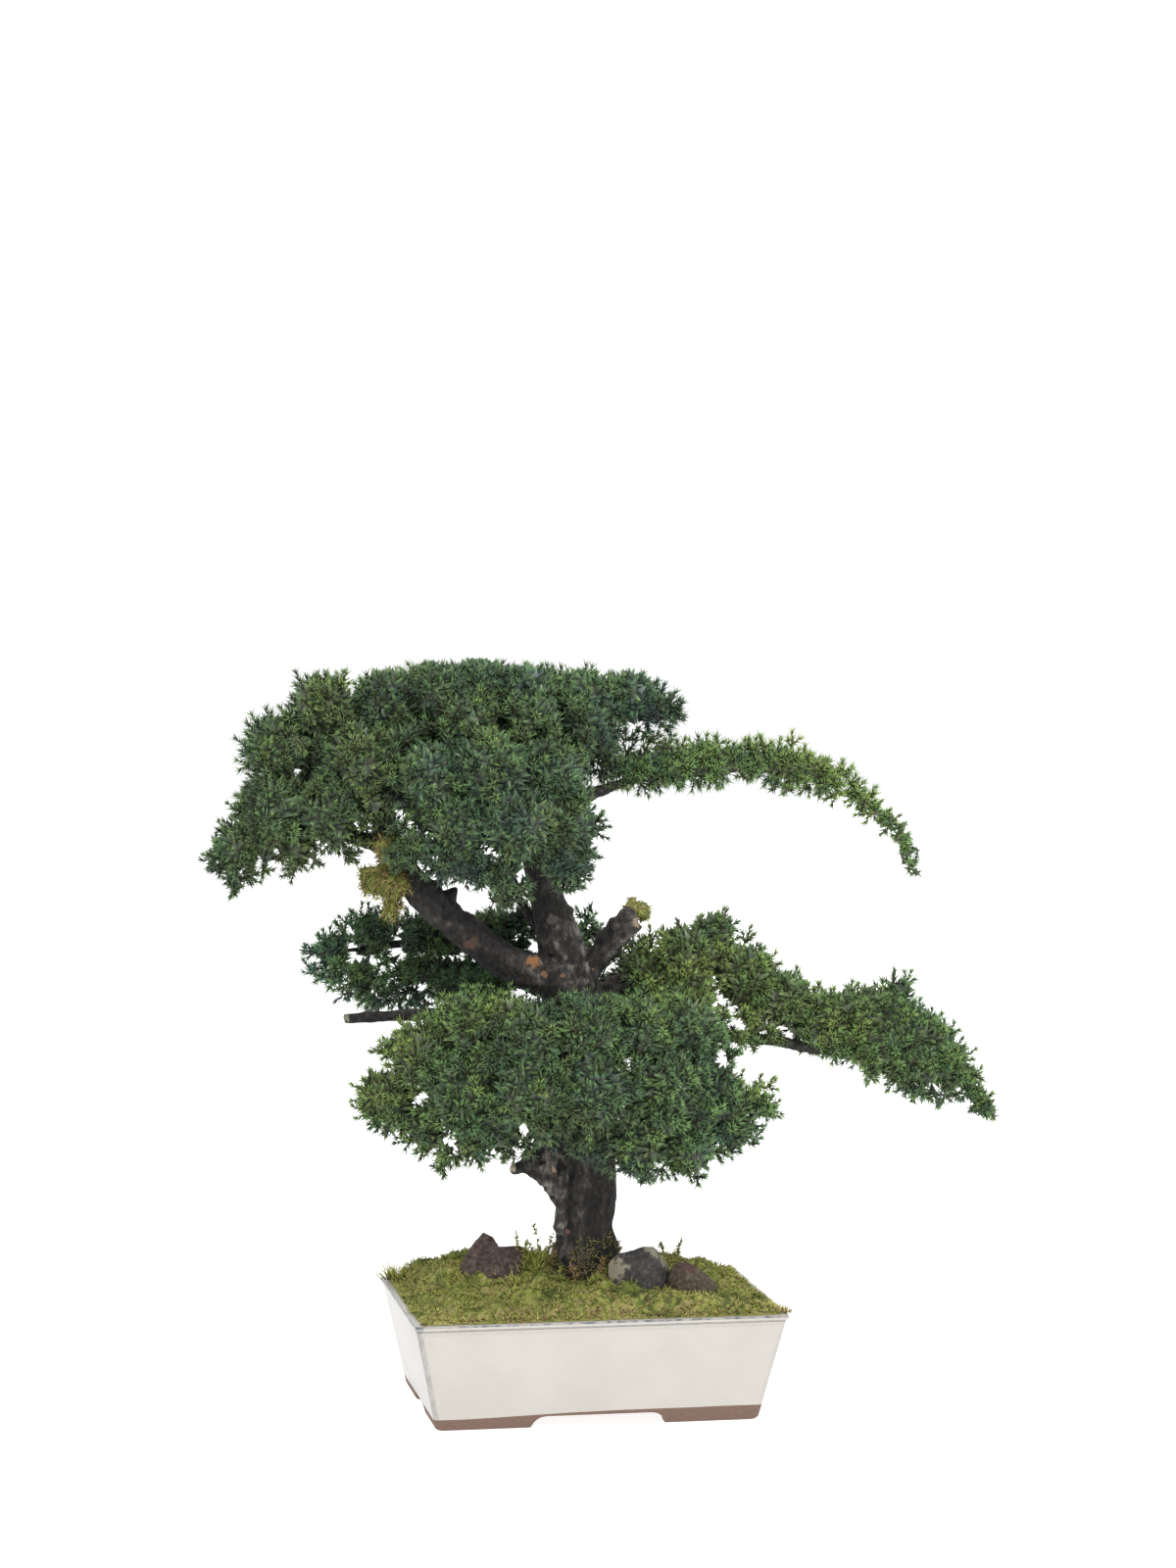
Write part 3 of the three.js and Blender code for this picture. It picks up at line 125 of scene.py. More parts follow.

# Foliage: lumps are [x, y, z, radius out to the needle tips]. An arm's lumps follow its stem, as the
# lumps of every list in "stems" do. "light" scales a pad's painted light and shade, and "tint" is its
# place on the needles' colour scale
PADS = {
    "foliage_crown_left": {
        "light": 0.9,
        "tint": 0.54,
        "lumps": [
            [-220, -10, 582, 34], [-257, 0, 547, 35], [-192, -28, 540, 38], [-263, -10, 498, 36],
            [-216, -18, 495, 34], [-287, 0, 468, 29], [-240, 0, 463, 25], [-184, 20, 508, 32],
            [-215, 40, 545, 36], [-235, 42, 500, 32],
            [-212, -12, 520, 30], [-160, -24, 552, 30], [-184, -42, 505, 20], [-260, -2, 453, 17],
        ],
        "stems": [
            [[-215, -14, 478, 20], [-200, -14, 466, 14], [-192, -14, 458, 9]],
            [[-262, -2, 478, 24], [-290, 0, 464, 20], [-316, 0, 457, 14]],
            [[-272, 0, 466, 18], [-284, 0, 450, 14], [-290, 0, 428, 12]],
        ],
    },
    "foliage_crown_top": {
        "light": 0.84,
        "tint": 0.46,
        "lumps": [
            [-166, -6, 584, 38], [-127, -18, 597, 37], [-90, -8, 599, 37], [-50, -12, 595, 36],
            [-4, -4, 589, 35], [36, 0, 592, 31], [-14, -6, 545, 30], [-90, -10, 548, 32],
            [-140, 34, 574, 36], [-88, 38, 586, 36], [-38, 36, 581, 36], [10, 28, 572, 32],
            [-106, -42, 572, 32], [-54, -42, 572, 32], [-8, -34, 568, 28],
        ],
        "stems": [[[26, 0, 582, 26], [58, 0, 581, 20], [82, 0, 578, 12]]],
    },
    "foliage_crown_front": {
        "light": 0.82,
        "tint": 0.43,
        "lumps": [
            [-138, -56, 530, 37], [-93, -68, 534, 40], [-43, -56, 532, 37], [-117, -66, 491, 35],
            [-72, -78, 490, 38], [-26, -58, 485, 34], [-150, -58, 470, 24], [-116, -66, 458, 26],
            [-84, -72, 446, 22], [-30, -60, 456, 29], [-100, -38, 508, 34], [-50, -36, 506, 34],
            [-178, -20, 492, 18], [-150, -50, 500, 20], [-136, -46, 492, 24], [-152, -28, 472, 17],
            [-130, -62, 450, 14], [-72, -66, 466, 22],
        ],
        "stems": [
            [[-80, -72, 452, 22], [-80, -70, 438, 18], [-76, -66, 422, 14]],
            [[-174, -60, 459, 10], [-155, -62, 469, 17], [-131, -66, 470, 20],
             [-108, -68, 463, 21], [-88, -66, 450, 19]],
        ],
    },
    "foliage_crown_back": {
        "tint": 0.38,
        "lumps": [
            [-180, 66, 552, 38], [-150, 78, 516, 36], [-112, 78, 556, 40], [-64, 82, 558, 40],
            [-18, 72, 554, 37], [20, 56, 548, 28], [-105, 88, 512, 36], [-58, 90, 506, 36],
            [-14, 72, 508, 31], [-118, 52, 528, 36], [-50, 54, 526, 36],
        ],
    },
    "foliage_upper_right": {
        "light": 1.4,
        "tint": 0.56,
        "arm": True,
        "clumps": True,
        "lumps": [
            [16, 16, 531, 18], [46, 18, 529, 22], [79, 16, 530, 24], [108, 14, 532, 24],
            [138, 8, 536, 19], [165, 4, 533, 22], [192, 1, 527, 21], [217, 0, 515, 18],
            [238, -3, 501, 15], [255, -5, 488, 12], [269, -5, 469, 10], [277, -5, 453, 8],
            [281, -5, 441, 6.5],
        ],
    },
    "foliage_back_left": {
        "light": 1.3,
        "tint": 0.4,
        "sparse": True,
        "lumps": [
            [-202, 62, 372, 30], [-165, 80, 386, 32], [-174, 78, 348, 30], [-126, 96, 384, 29],
            [-134, 96, 348, 28], [-151, 62, 342, 16], [-117, 72, 344, 16],
            [-168, 70, 330, 18], [-130, 72, 329, 18], [-196, 66, 350, 22], [-150, 66, 364, 14],
            [-174, 64, 371, 15], [-143, 62, 374, 15], [-155, 66, 338, 15], [-121, 62, 338, 15],
            [-97, 58, 336, 14], [-72, 54, 338, 13],
        ],
        "stems": [
            [[-64, 106, 380, 20], [-70, 80, 390, 18], [-78, 62, 394, 16]],
            [[-112, 56, 340, 16], [-92, 50, 342, 19], [-70, 42, 343, 20], [-50, 38, 348, 15]],
            [[-128, 98, 380, 24], [-94, 104, 378, 24], [-64, 106, 376, 22], [-46, 96, 378, 18]],
            [[-128, 98, 352, 22], [-96, 100, 346, 22], [-62, 96, 350, 22], [-44, 84, 366, 20],
             [-37, 66, 381, 15]],
            [[-64, 106, 380, 20], [-56, 84, 388, 21], [-42, 70, 396, 20], [-30, 64, 404, 14]],
        ],
    },
    "foliage_low_left": {
        "light": 1.2,
        "tint": 0.57,
        "lumps": [
            [-104, -50, 326, 35], [-142, -40, 297, 33], [-167, -20, 262, 31], [-113, -58, 272, 37],
            [-138, -30, 240, 28], [-98, -50, 238, 29],
            [-150, -20, 312, 21], [-86, -70, 300, 31], [-84, -66, 260, 32], [-76, -56, 242, 25],
            [-118, -10, 300, 32],
            [-80, -76, 337, 24], [-74, -60, 346, 18], [-167, -20, 300, 14], [-78, -56, 226, 15],
        ],
        "stems": [[[-118, -46, 226, 18], [-124, -48, 215, 14], [-126, -48, 209, 9]]],
    },
    "foliage_low_front": {
        "light": 0.9,
        "tint": 0.5,
        "lumps": [
            [-63, -88, 320, 36], [-16, -92, 325, 37], [-62, -92, 278, 37], [-10, -96, 276, 38],
            [-44, -60, 242, 25], [-8, -66, 232, 22], [-66, -56, 234, 18],
        ],
    },
    "foliage_low_right": {
        "light": 1.2,
        "tint": 0.48,
        "lumps": [
            [34, -70, 324, 35], [75, -52, 322, 34], [55, -68, 278, 37], [108, -38, 268, 29],
            [140, -30, 250, 22], [32, -58, 226, 33], [76, -50, 223, 34], [118, -32, 234, 28],
            [92, -16, 292, 28], [54, -62, 250, 28], [92, -46, 252, 27],
            [31, -64, 262, 24], [150, -28, 258, 15],
        ],
    },
    "foliage_low_back": {
        "tint": 0.34,
        "lumps": [
            [-26, 78, 300, 30], [14, 86, 318, 34], [56, 90, 322, 34], [94, 74, 326, 30],
            [34, 82, 286, 30], [74, 72, 290, 28],
        ],
    },
    "foliage_right_pad": {
        "light": 1.12,
        "tint": 0.57,
        "lumps": [
            [50, 20, 357, 30], [90, 20, 369, 36], [118, 28, 389, 26], [140, 12, 354, 35],
            [86, -4, 340, 34], [173, 2, 335, 33], [104, 46, 356, 28], [148, 38, 340, 26],
            [148, 0, 328, 22], [145, 0, 319, 20], [120, 0, 322, 18],
            [150, -10, 313, 17], [176, -10, 311, 17], [118, -12, 312, 18], [136, -12, 309, 13],
            [160, -12, 310, 13], [109, -20, 332, 18], [118, -20, 312, 15],
        ],
    },
    "foliage_low_arm": {
        "light": 1.32,
        "tint": 0.5,
        "arm": True,
        "lumps": [
            [196, 0, 319, 31], [218, -2, 315, 36], [248, -6, 309, 41], [278, -10, 298, 40],
            [308, -10, 284, 31], [328, -10, 264, 20], [344, -10, 247, 14], [357, -10, 233, 9],
        ],
        "stems": [
            [[210, -2, 318, 26], [222, -2, 328, 20], [228, -2, 335, 14]],
            [[170, -8, 313, 16], [200, -10, 304, 17], [232, -10, 290, 19], [252, -10, 277, 18]],
            [[258, -4, 321, 24], [270, -2, 339, 20], [275, 0, 352, 12]],
            [[262, -10, 278, 24], [276, -8, 260, 16], [282, -8, 246, 10]],
            [[294, -8, 268, 18], [304, -8, 246, 11]],
            [[236, -4, 326, 20], [242, -2, 341, 15], [243, -2, 353, 10]],
        ],
    },
    "foliage_behind_stub": {
        "tint": 0.36,
        "arm": True,
        "lumps": [[-8, 58, 362, 14], [0, 60, 378, 19], [10, 62, 392, 15], [16, 62, 404, 10]],
        "stems": [[[2, 60, 382, 15], [18, 58, 384, 14], [30, 56, 380, 12], [44, 48, 375, 14],
                   [56, 44, 372, 15]]],
    },
}


def placed(points):
    """Points in mm from the middle of the pot, in metres in the shared frame."""
    return np.asarray(points, float) * MM + POT_MIDDLE


def unit(vectors):
    vectors = np.asarray(vectors, float)
    return vectors / np.maximum(np.linalg.norm(vectors, axis=-1, keepdims=True), 1e-12)


def noise(points, scale, seed=0):
    """Smooth noise from -1 to 1 at points in mm, with features about scale mm across."""
    places = np.asarray(points, float) / scale + seed * 17.31
    cell = np.floor(places).astype(np.int64)
    within = places - cell
    within = within * within * (3 - 2 * within)
    total = np.zeros(len(places))
    for corner in np.ndindex(2, 2, 2):
        x, y, z = (cell + corner).T
        mixed = (x * 73856093) ^ (y * 19349663) ^ (z * 83492791)
        mixed = (mixed ^ (mixed >> 13)) * 1274126177
        value = ((mixed ^ (mixed >> 16)) & 0xFFFF) / 32767.5 - 1
        weights = np.where(corner, within, 1 - within)
        total += value * weights.prod(axis=1)
    return total


# Meshes and materials

def linked(name, data):
    """New object in the scene."""
    made = bpy.data.objects.new(name, data)
    bpy.context.scene.collection.objects.link(made)
    return made


def mesh_object(name, points, faces, material, uv=None, smooth=True):
    """Object from points in metres and an array of faces with equal numbers of corners."""
    mesh = bpy.data.meshes.new(name)
    faces = np.asarray(faces, np.int32)
    mesh.vertices.add(len(points))
    mesh.vertices.foreach_set("co", np.asarray(points, np.float32).ravel())
    mesh.loops.add(faces.size)
    mesh.loops.foreach_set("vertex_index", faces.ravel())
    mesh.polygons.add(len(faces))
    mesh.polygons.foreach_set("loop_start", np.arange(0, faces.size, faces.shape[1], dtype=np.int32))
    mesh.polygons.foreach_set("use_smooth", np.full(len(faces), smooth))
    if uv is not None:
        layer = mesh.uv_layers.new(name="OFBake")
        layer.uv.foreach_set("vector", np.asarray(uv, np.float32)[faces.ravel()].ravel())
    mesh.update(calc_edges=True)
    mesh.materials.append(material)
    return linked(name, mesh)


def modified(piece, kind, **settings):
    """The piece with a modifier made real."""
    modifier = piece.modifiers.new(kind, kind)
    for key, value in settings.items():
        setattr(modifier, key, value)
    evaluated = piece.evaluated_get(bpy.context.evaluated_depsgraph_get())
    mesh = bpy.data.meshes.new_from_object(evaluated)
    piece.modifiers.clear()
    piece.data = mesh
    return piece


def remeshed(piece, voxel):
    """The piece as one skin over all that it holds, with faces about voxel mm across."""
    return modified(piece, "REMESH", mode="VOXEL", voxel_size=voxel * MM, use_smooth_shade=True)


def smoothed(piece, turns):
    return modified(piece, "SMOOTH", factor=0.5, iterations=turns)


def shade_smooth(piece, sharp_from):
    """Smooth shading, apart from the edges that are sharper than so many degrees."""
    piece.data.polygons.foreach_set("use_smooth", np.ones(len(piece.data.polygons), bool))
    piece.data.set_sharp_from_angle(angle=math.radians(sharp_from))


def vectors_of(rows, key):
    values = np.empty(len(rows) * 3, np.float32)
    rows.foreach_get(key, values)
    return values.reshape(-1, 3).astype(float)


def points_of(piece):
    """The piece's points in metres."""
    return vectors_of(piece.data.vertices, "co")


def places_of(piece):
    """The piece's points in mm from the middle of the pot."""
    return (points_of(piece) - POT_MIDDLE) / MM


def normals_of(piece):
    return vectors_of(piece.data.vertex_normals, "vector")


def faces_of(piece):
    return np.array([face.vertices[:] for face in piece.data.polygons])


def move_points(piece, points):
    piece.data.vertices.foreach_set("co", np.asarray(points, np.float32).ravel())
    piece.data.update()


def stands_for(piece, slot, *nodes):
    """The piece rides on the one body and stands for these nodes, which it hides; slot is not used."""
    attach(piece, "root")
    if nodes:
        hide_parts(*nodes)
    return piece


def srgb(red, green, blue):
    """Linear colour from a colour in 0 to 255."""
    return tuple((c / 255 / 12.92 if c < 11 else ((c / 255 + 0.055) / 1.055) ** 2.4)
                 for c in (red, green, blue)) + (1.0,)


class Shader:
    """A material's node tree, with short ways to add to it."""

    def __init__(self, name, roughness, specular=0.4):
        self.material = bpy.data.materials.new(name)
        self.material.use_nodes = True
        self.tree = self.material.node_tree
        self.surface = self.tree.nodes["Principled BSDF"]
        self.surface.inputs["Roughness"].default_value = roughness
        self.surface.inputs["Specular IOR Level"].default_value = specular

    def node(self, kind, **settings):
        made = self.tree.nodes.new("ShaderNode" + kind)
        for key, value in settings.items():
            setattr(made, key, value)
        return made

    def put(self, value, socket):
        """Sets a socket to a number or colour, or links it to another socket."""
        if isinstance(value, bpy.types.NodeSocket):
            self.tree.links.new(value, socket)
        else:
            socket.default_value = value

    def place(self, stretch=(1, 1, 1)):
        """Coordinates in metres, stretched."""
        coordinates = self.node("TexCoord").outputs["Object"]
        mapping = self.node("Mapping")
        self.put(coordinates, mapping.inputs["Vector"])
        mapping.inputs["Scale"].default_value = stretch
        return mapping.outputs["Vector"]

    def noise(self, scale, detail=4, place=None, roughness=0.55, distortion=0):
        made = self.node("TexNoise")
        self.put(place or self.place(), made.inputs["Vector"])
        made.inputs["Scale"].default_value = scale
        made.inputs["Detail"].default_value = detail
        made.inputs["Roughness"].default_value = roughness
        made.inputs["Distortion"].default_value = distortion
        return made.outputs["Fac"]

    def ramp(self, value, *stops):
        """Colours or greys between stops of (place, colour)."""
        made = self.node("ValToRGB")
        band = made.color_ramp
        while len(band.elements) < len(stops):
            band.elements.new(0.5)
        for element, (at, colour) in zip(band.elements, stops):
            element.position = at
            element.color = colour if isinstance(colour, tuple) else (colour, colour, colour, 1)
        self.put(value, made.inputs["Fac"])
        return made.outputs["Color"]

    def mix(self, share, one, other, kind="MIX"):
        made = self.node("Mix", data_type="RGBA", blend_type=kind)
        self.put(share, made.inputs[0])
        self.put(one, made.inputs[6])
        self.put(other, made.inputs[7])
        return made.outputs[2]

    def maths(self, operation, one, other=0.0, third=0.0):
        made = self.node("Math", operation=operation)
        for socket, value in zip(made.inputs, (one, other, third)):
            self.put(value, socket)
        return made.outputs[0]

    def split(self, vector):
        """The x, y and z of a vector."""
        made = self.node("SeparateXYZ")
        self.put(vector, made.inputs[0])
        return [made.outputs[axis] for axis in "XYZ"]

    def spot(self, centre, radius):
        """One inside a ragged patch round a place in metres, nought outside it."""
        away = self.node("VectorMath", operation="DISTANCE")
        self.put(self.place(), away.inputs[0])
        away.inputs[1].default_value = tuple(centre)
        ragged = self.maths("MULTIPLY_ADD", self.noise(200, 4), radius * 2.4, away.outputs["Value"])
        return self.ramp(self.maths("DIVIDE", ragged, radius * 2.2), (0.0, 1.0), (0.82, 1.0), (0.95, 0.0))

    def patched(self, colour, patches):
        """The colour, with ragged patches of another: place in mm, radius and colour of each."""
        for place, radius, tone in patches:
            colour = self.mix(self.spot(placed(place), radius * MM), colour, srgb(*tone))
        return colour

    def bump(self, height, depth, strength=1.0):
        """Low relief, depth metres deep."""
        made = self.node("Bump")
        made.inputs["Strength"].default_value = strength
        made.inputs["Distance"].default_value = depth
        self.put(height, made.inputs["Height"])
        self.put(made.outputs["Normal"], self.surface.inputs["Normal"])

    def colour(self, value):
        self.put(value, self.surface.inputs["Base Color"])


def mapped_material(name, roughness, specular, tints, lights):
    """Across a piece's map lies the tint of each needle or strand, and up the map its painted light and
    shade.
    """
    shader = Shader(name, roughness, specular)
    across, up, _ = shader.split(shader.node("UVMap", uv_map="OFBake").outputs["UV"])
    tint, light = shader.ramp(across, *tints), shader.ramp(up, *lights)
    shader.colour(shader.mix(1.0, tint, light, "MULTIPLY"))
    return shader.material


# Foliage

def twig_solid(centres, radii, sides):
    """Closed tapered tube along centres."""
    points, faces = [], []
    count = len(centres)
    for i, (centre, radius) in enumerate(zip(centres, radii)):
        way = unit(centres[min(i + 1, count - 1)] - centres[max(i - 1, 0)])
        across = unit(np.cross(way, [0.31, 0.95, 0.08]))
        other = np.cross(way, across)
        for k in range(sides):
            angle = 2 * math.pi * k / sides
            points.append(centre + radius * (across * math.cos(angle) + other * math.sin(angle)))
    for i in range(count - 1):
        for k in range(sides):
            a, b = i * sides + k, i * sides + (k + 1) % sides
            faces += [[a, b, b + sides], [a, b + sides, a + sides]]
    last = (count - 1) * sides
    for k in range(1, sides - 1):
        faces += [[0, k + 1, k], [last, last + k, last + k + 1]]
    return points, faces


class Grown:
    """Points, faces and map of what has grown so far, in mm."""

    def __init__(self):
        self.points, self.faces, self.uv, self.count = [], [], [], 0

    def add(self, points, faces, uv):
        self.points.append(np.asarray(points, float))
        self.faces.append(np.asarray(faces, int) + self.count)
        self.uv.append(np.asarray(uv, float))
        self.count += len(points)

    def arrays(self):
        return np.concatenate(self.points), np.concatenate(self.faces), np.concatenate(self.uv)


def add_needle(grown, base, axis, out, lean, length, shade, light):
    """Three-sided needle, flat above and keeled below, whose base is in its twig."""
    way = axis * math.cos(lean) + out * math.sin(lean)
    across = np.cross(axis, out)
    keel = np.cross(across, way)
    half = across * NEEDLE_WIDTH / 2
    points = [base + half, base - half, base + keel * NEEDLE_THICK, base + way * length]
    faces = [[0, 2, 1], [0, 1, 3], [1, 2, 3], [2, 0, 3]]
    # Painted shade at the needle's root, darker still on its keel, and full light at its tip
    low = light * 0.2
    uv = [[shade + ROOT_SPREAD, low], [shade - ROOT_SPREAD, low + 0.02], [shade, low * 0.6], [shade, light]]
    grown.add(points, faces, uv)


def add_sprig(grown, root, way, whorls, random, shade):
    """Twig that turns upwards, with needles in threes that close up at its tip."""
    side = unit(np.cross(way, random.normal(size=3)))
    light = random.uniform(*SPRIG_LIGHT)
    length = whorls * WHORL_STEP
    centres = []
    for i in range(whorls + 1):
        share = i / whorls
        bent = way * share * length + UP * 0.12 * length * share * share
        centres.append(root + bent + side * 0.05 * length * math.sin(share * math.pi))
    joints = [centres[0], centres[whorls // 2], centres[-1]]
    points, faces = twig_solid(joints, [0.7, 0.6, 0.3], 3)
    grown.add(points, faces, [[TWIG_TINT, 0.2 + 0.5 * (i % 3) / 2] for i in range(len(points))])
    for i in range(1, whorls + 2):
        above = min(i, whorls)
        axis = unit(centres[above] - centres[above - 1])
        first = unit(np.cross(axis, side))
        second = np.cross(axis, first)
        share = i / (whorls + 1)
        lean = math.radians(np.interp(share, (0, 1), NEEDLE_LEANS)) * random.uniform(0.85, 1.15)
        length = NEEDLE_LENGTH * random.uniform(0.9, 1.1)
        if i > whorls:
            lean, length = TIP_LEAN, NEEDLE_LENGTH * TIP_LENGTH
        for k in range(3):
            angle = 2 * math.pi * (k / 3 + i / 6) + random.normal() * 0.12
            out = first * math.cos(angle) + second * math.sin(angle)
            tint = shade + random.uniform(-0.09, 0.09)
            bright = min(light * random.uniform(*NEEDLE_LIGHT), 1)
            add_needle(grown, centres[above], axis, out, lean, length, tint, bright)


def tuft_kind(size, seed):
    """One tuft that grows along +Z from the origin: a leading sprig and its side sprigs."""
    random = np.random.default_rng(seed)
    grown = Grown()
    length = size["lead"] * WHORL_STEP
    lowest = size["height"] - NEEDLE_LENGTH - length
    add_sprig(grown, UP * lowest, unit(UP + random.normal(size=3) * 0.06), size["lead"], random, 0.0)
    turn = random.uniform(0, 2 * math.pi)
    for k in range(size["sides"]):
        angle = turn + 2 * math.pi * (k + random.uniform(-0.2, 0.2)) / size["sides"]
        tilt = math.radians(random.uniform(38, 58))
        out = np.array([math.cos(angle), math.sin(angle), 0])
        way = out * math.sin(tilt) + UP * math.cos(tilt)
        root = UP * (lowest + random.uniform(0.0, 0.4) * length)
        whorls = int(random.integers(*size["side_whorls"]))
        add_sprig(grown, root, way, whorls, random, random.uniform(-0.1, 0.1))
    return grown.arrays()


def dense(path, spacing=9):
    """The lumps of a path, with more between them."""
    rows = [np.array(path[0], float)]
    for start, end in zip(path, path[1:]):
        start, end = np.array(start, float), np.array(end, float)
        count = max(1, round(np.linalg.norm((end - start)[:3]) / spacing))
        rows += [start + (end - start) * i / count for i in range(1, count + 1)]
    return rows


def lumps_of(pad):
    body = dense(pad["lumps"]) if pad.get("arm") else [np.array(row, float) for row in pad["lumps"]]
    for stem in pad.get("stems", []):
        body += dense(stem)
    return np.array(body)


LUMPS_OF = {name: lumps_of(pad) for name, pad in PADS.items()}
LUMPS = np.concatenate(list(LUMPS_OF.values()))
OWNERS = np.repeat(list(PADS), [len(rows) for rows in LUMPS_OF.values()])


def crowding(lumps, blend):
    """How many lumps, weighed by how near they are, meet at the side of each lump."""
    apart = np.linalg.norm(lumps[:, None, :3] - lumps[:, :3], axis=2)
    depth = np.sqrt(lumps[:, None, 3] ** 2 + apart**2) - lumps[:, 3]
    return np.exp(-np.maximum(depth, 0) / blend).sum(axis=1)


def skin(points, lumps, blend):
    """How far points lie outside the blended lumps, the way out there, and each lump's share."""
    away = points[:, None] - lumps[:, :3]
    far = np.linalg.norm(away, axis=2) + 1e-9
    depth = far - lumps[:, 3]
    least = depth.min(axis=1, keepdims=True)
    shares = np.exp((least - depth) / blend) / crowding(lumps, blend)
    total = shares.sum(axis=1, keepdims=True)
    shares /= total
    out = unit((shares[:, :, None] * away / far[:, :, None]).sum(axis=1))
    return (least - blend * np.log(total))[:, 0], out, shares


def onto_skin(points, lumps, blend, turns=3):
    """Points moved onto the skin of the blended lumps."""
    for _ in range(turns):
        far, out, _ = skin(points, lumps, blend)
        points = points - out * far[:, None]
    return points


def ball_ways(count, turn):
    """Ways spread evenly over a ball."""
    step = np.arange(count) + 0.5
    height = 1 - 2 * step / count
    angle = step * math.pi * (3 - math.sqrt(5)) + turn
    flat = np.sqrt(1 - height * height)
    return np.stack([flat * np.cos(angle), flat * np.sin(angle), height], axis=1)


def size_for(radius):
    return "full" if radius >= FULL_FROM else "medium" if radius >= MEDIUM_FROM else "small"


def tuft_places():
    """For each pad, where its tufts end, the way out there and their size."""
    random = np.random.default_rng(4)
    ends = []
    for x, y, z, radius in LUMPS:
        ways = ball_ways(max(FEWEST_ENDS, int(4 * math.pi * radius**2 / END_AREA)), random.uniform(0, 6))
        ends.append(ways * radius + [x, y, z])
    ends = np.concatenate(ends)
    nearest = (np.linalg.norm(ends[:, None] - LUMPS[:, :3], axis=2) - LUMPS[:, 3]).min(axis=1)
    ends = onto_skin(ends[nearest > -DEEPEST_END], LUMPS, LUMP_BLEND)
    _, outs, shares = skin(ends, LUMPS, LUMP_BLEND)
    radii = shares @ LUMPS[:, 3]
    owners = OWNERS[shares.argmax(axis=1)]
    kept = {name: [] for name in PADS}
    kept_ends = np.full((len(ends), 3), 1e6)
    count = 0
    for index in random.permutation(len(ends)):
        size = size_for(radii[index])
        spacing = TUFT_SIZES[size]["spacing"] * (UNDERSIDE_SPACING if outs[index][2] < -0.5 else 1)
        if np.linalg.norm(kept_ends[:count] - ends[index], axis=1).min(initial=1e6) < spacing:
            continue
        kept_ends[count] = ends[index]
        count += 1
        kept[owners[index]].append((ends[index], outs[index], size))
    return kept


TUFTS = {
    name: [tuft_kind(size, seed + 100 * number) for seed in range(TUFT_KINDS)]
    for number, (name, size) in enumerate(TUFT_SIZES.items())
}
PLACES = tuft_places()


def turned_to(way, spin):
    """Rotation that takes +Z to a way, after a spin about +Z."""
    across = unit(np.cross([0.2, 0.9, 0.1], way))
    other = np.cross(way, across)
    first = across * math.cos(spin) + other * math.sin(spin)
    return np.stack([first, np.cross(way, first), way], axis=1)


LOW, HIGH = ((np.array(corner) - POT_MIDDLE) / MM for corner in cad_box)
EASE_FROM = 22  # the foliage is pressed together from this far inside the CAD's box outwards
EASE = 0.68


def eased(points):
    """Points near the sides of the CAD's box drawn inwards a little, by more the further out."""
    over = np.maximum(points - (HIGH - EASE_FROM), 0) + np.minimum(points - (LOW + EASE_FROM), 0)
    return points - (1 - EASE) * over


def kept_inside(points):
    """Points moved together, so that none lies outside the CAD's box."""
    return points + np.maximum(LOW - points.min(axis=0), 0) - np.maximum(points.max(axis=0) - HIGH, 0)


def tint_at(places, pad):
    return pad["tint"] + 0.14 * noise(places, 45, 3)


def grow_pad(name, pad, seed):
    random = np.random.default_rng(seed)
    grown = Grown()
    for end, out, size in PLACES[name]:
        end = eased(end)
        kind = TUFT_SIZES[size]
        way = unit(out + kind["loose"] * (UP * TUFT_RISE + random.normal(size=3) * TUFT_SCATTER))
        if pad.get("clumps"):
            swell = ARM_RELIEF * kind["loose"] * (noise(end[None], ARM_CLUMP_WIDTH, 11)[0] - 0.1)
        else:
            swell = CLUMP_RELIEF * kind["relief"] * noise(end[None], CLUMP_WIDTH, 11)[0]
        reach = random.uniform(*TUFT_REACH) + swell
        if random.random() < LEADERS:
            reach += random.uniform(*LEADER_REACH)
        root = end - way * (kind["height"] - reach)
        points, faces, uv = TUFTS[size][random.integers(TUFT_KINDS)]
        tint = tint_at(end[None], pad)[0] + random.normal() * 0.05 + out[2] * 0.06
        shades = uv.copy()
        green = shades[:, 0] < 0.9
        shades[green, 0] = np.clip(shades[green, 0] + tint, *TINT_SPAN)
        # Painted light and shade on each tuft: lighter or darker by clump, lighter facing up and darker
        # facing down
        bright = 0.96 + 0.2 * noise(end[None], 24, 15)[0] + 0.16 * out[2] + random.normal() * 0.08
        shades[:, 1] = np.clip(shades[:, 1] * (pad.get("light", 1) * bright), 0, 1)
        turned = points @ turned_to(way, random.uniform(0, 6.3)).T + root
        grown.add(kept_inside(turned), faces, shades)
    return grown.arrays()


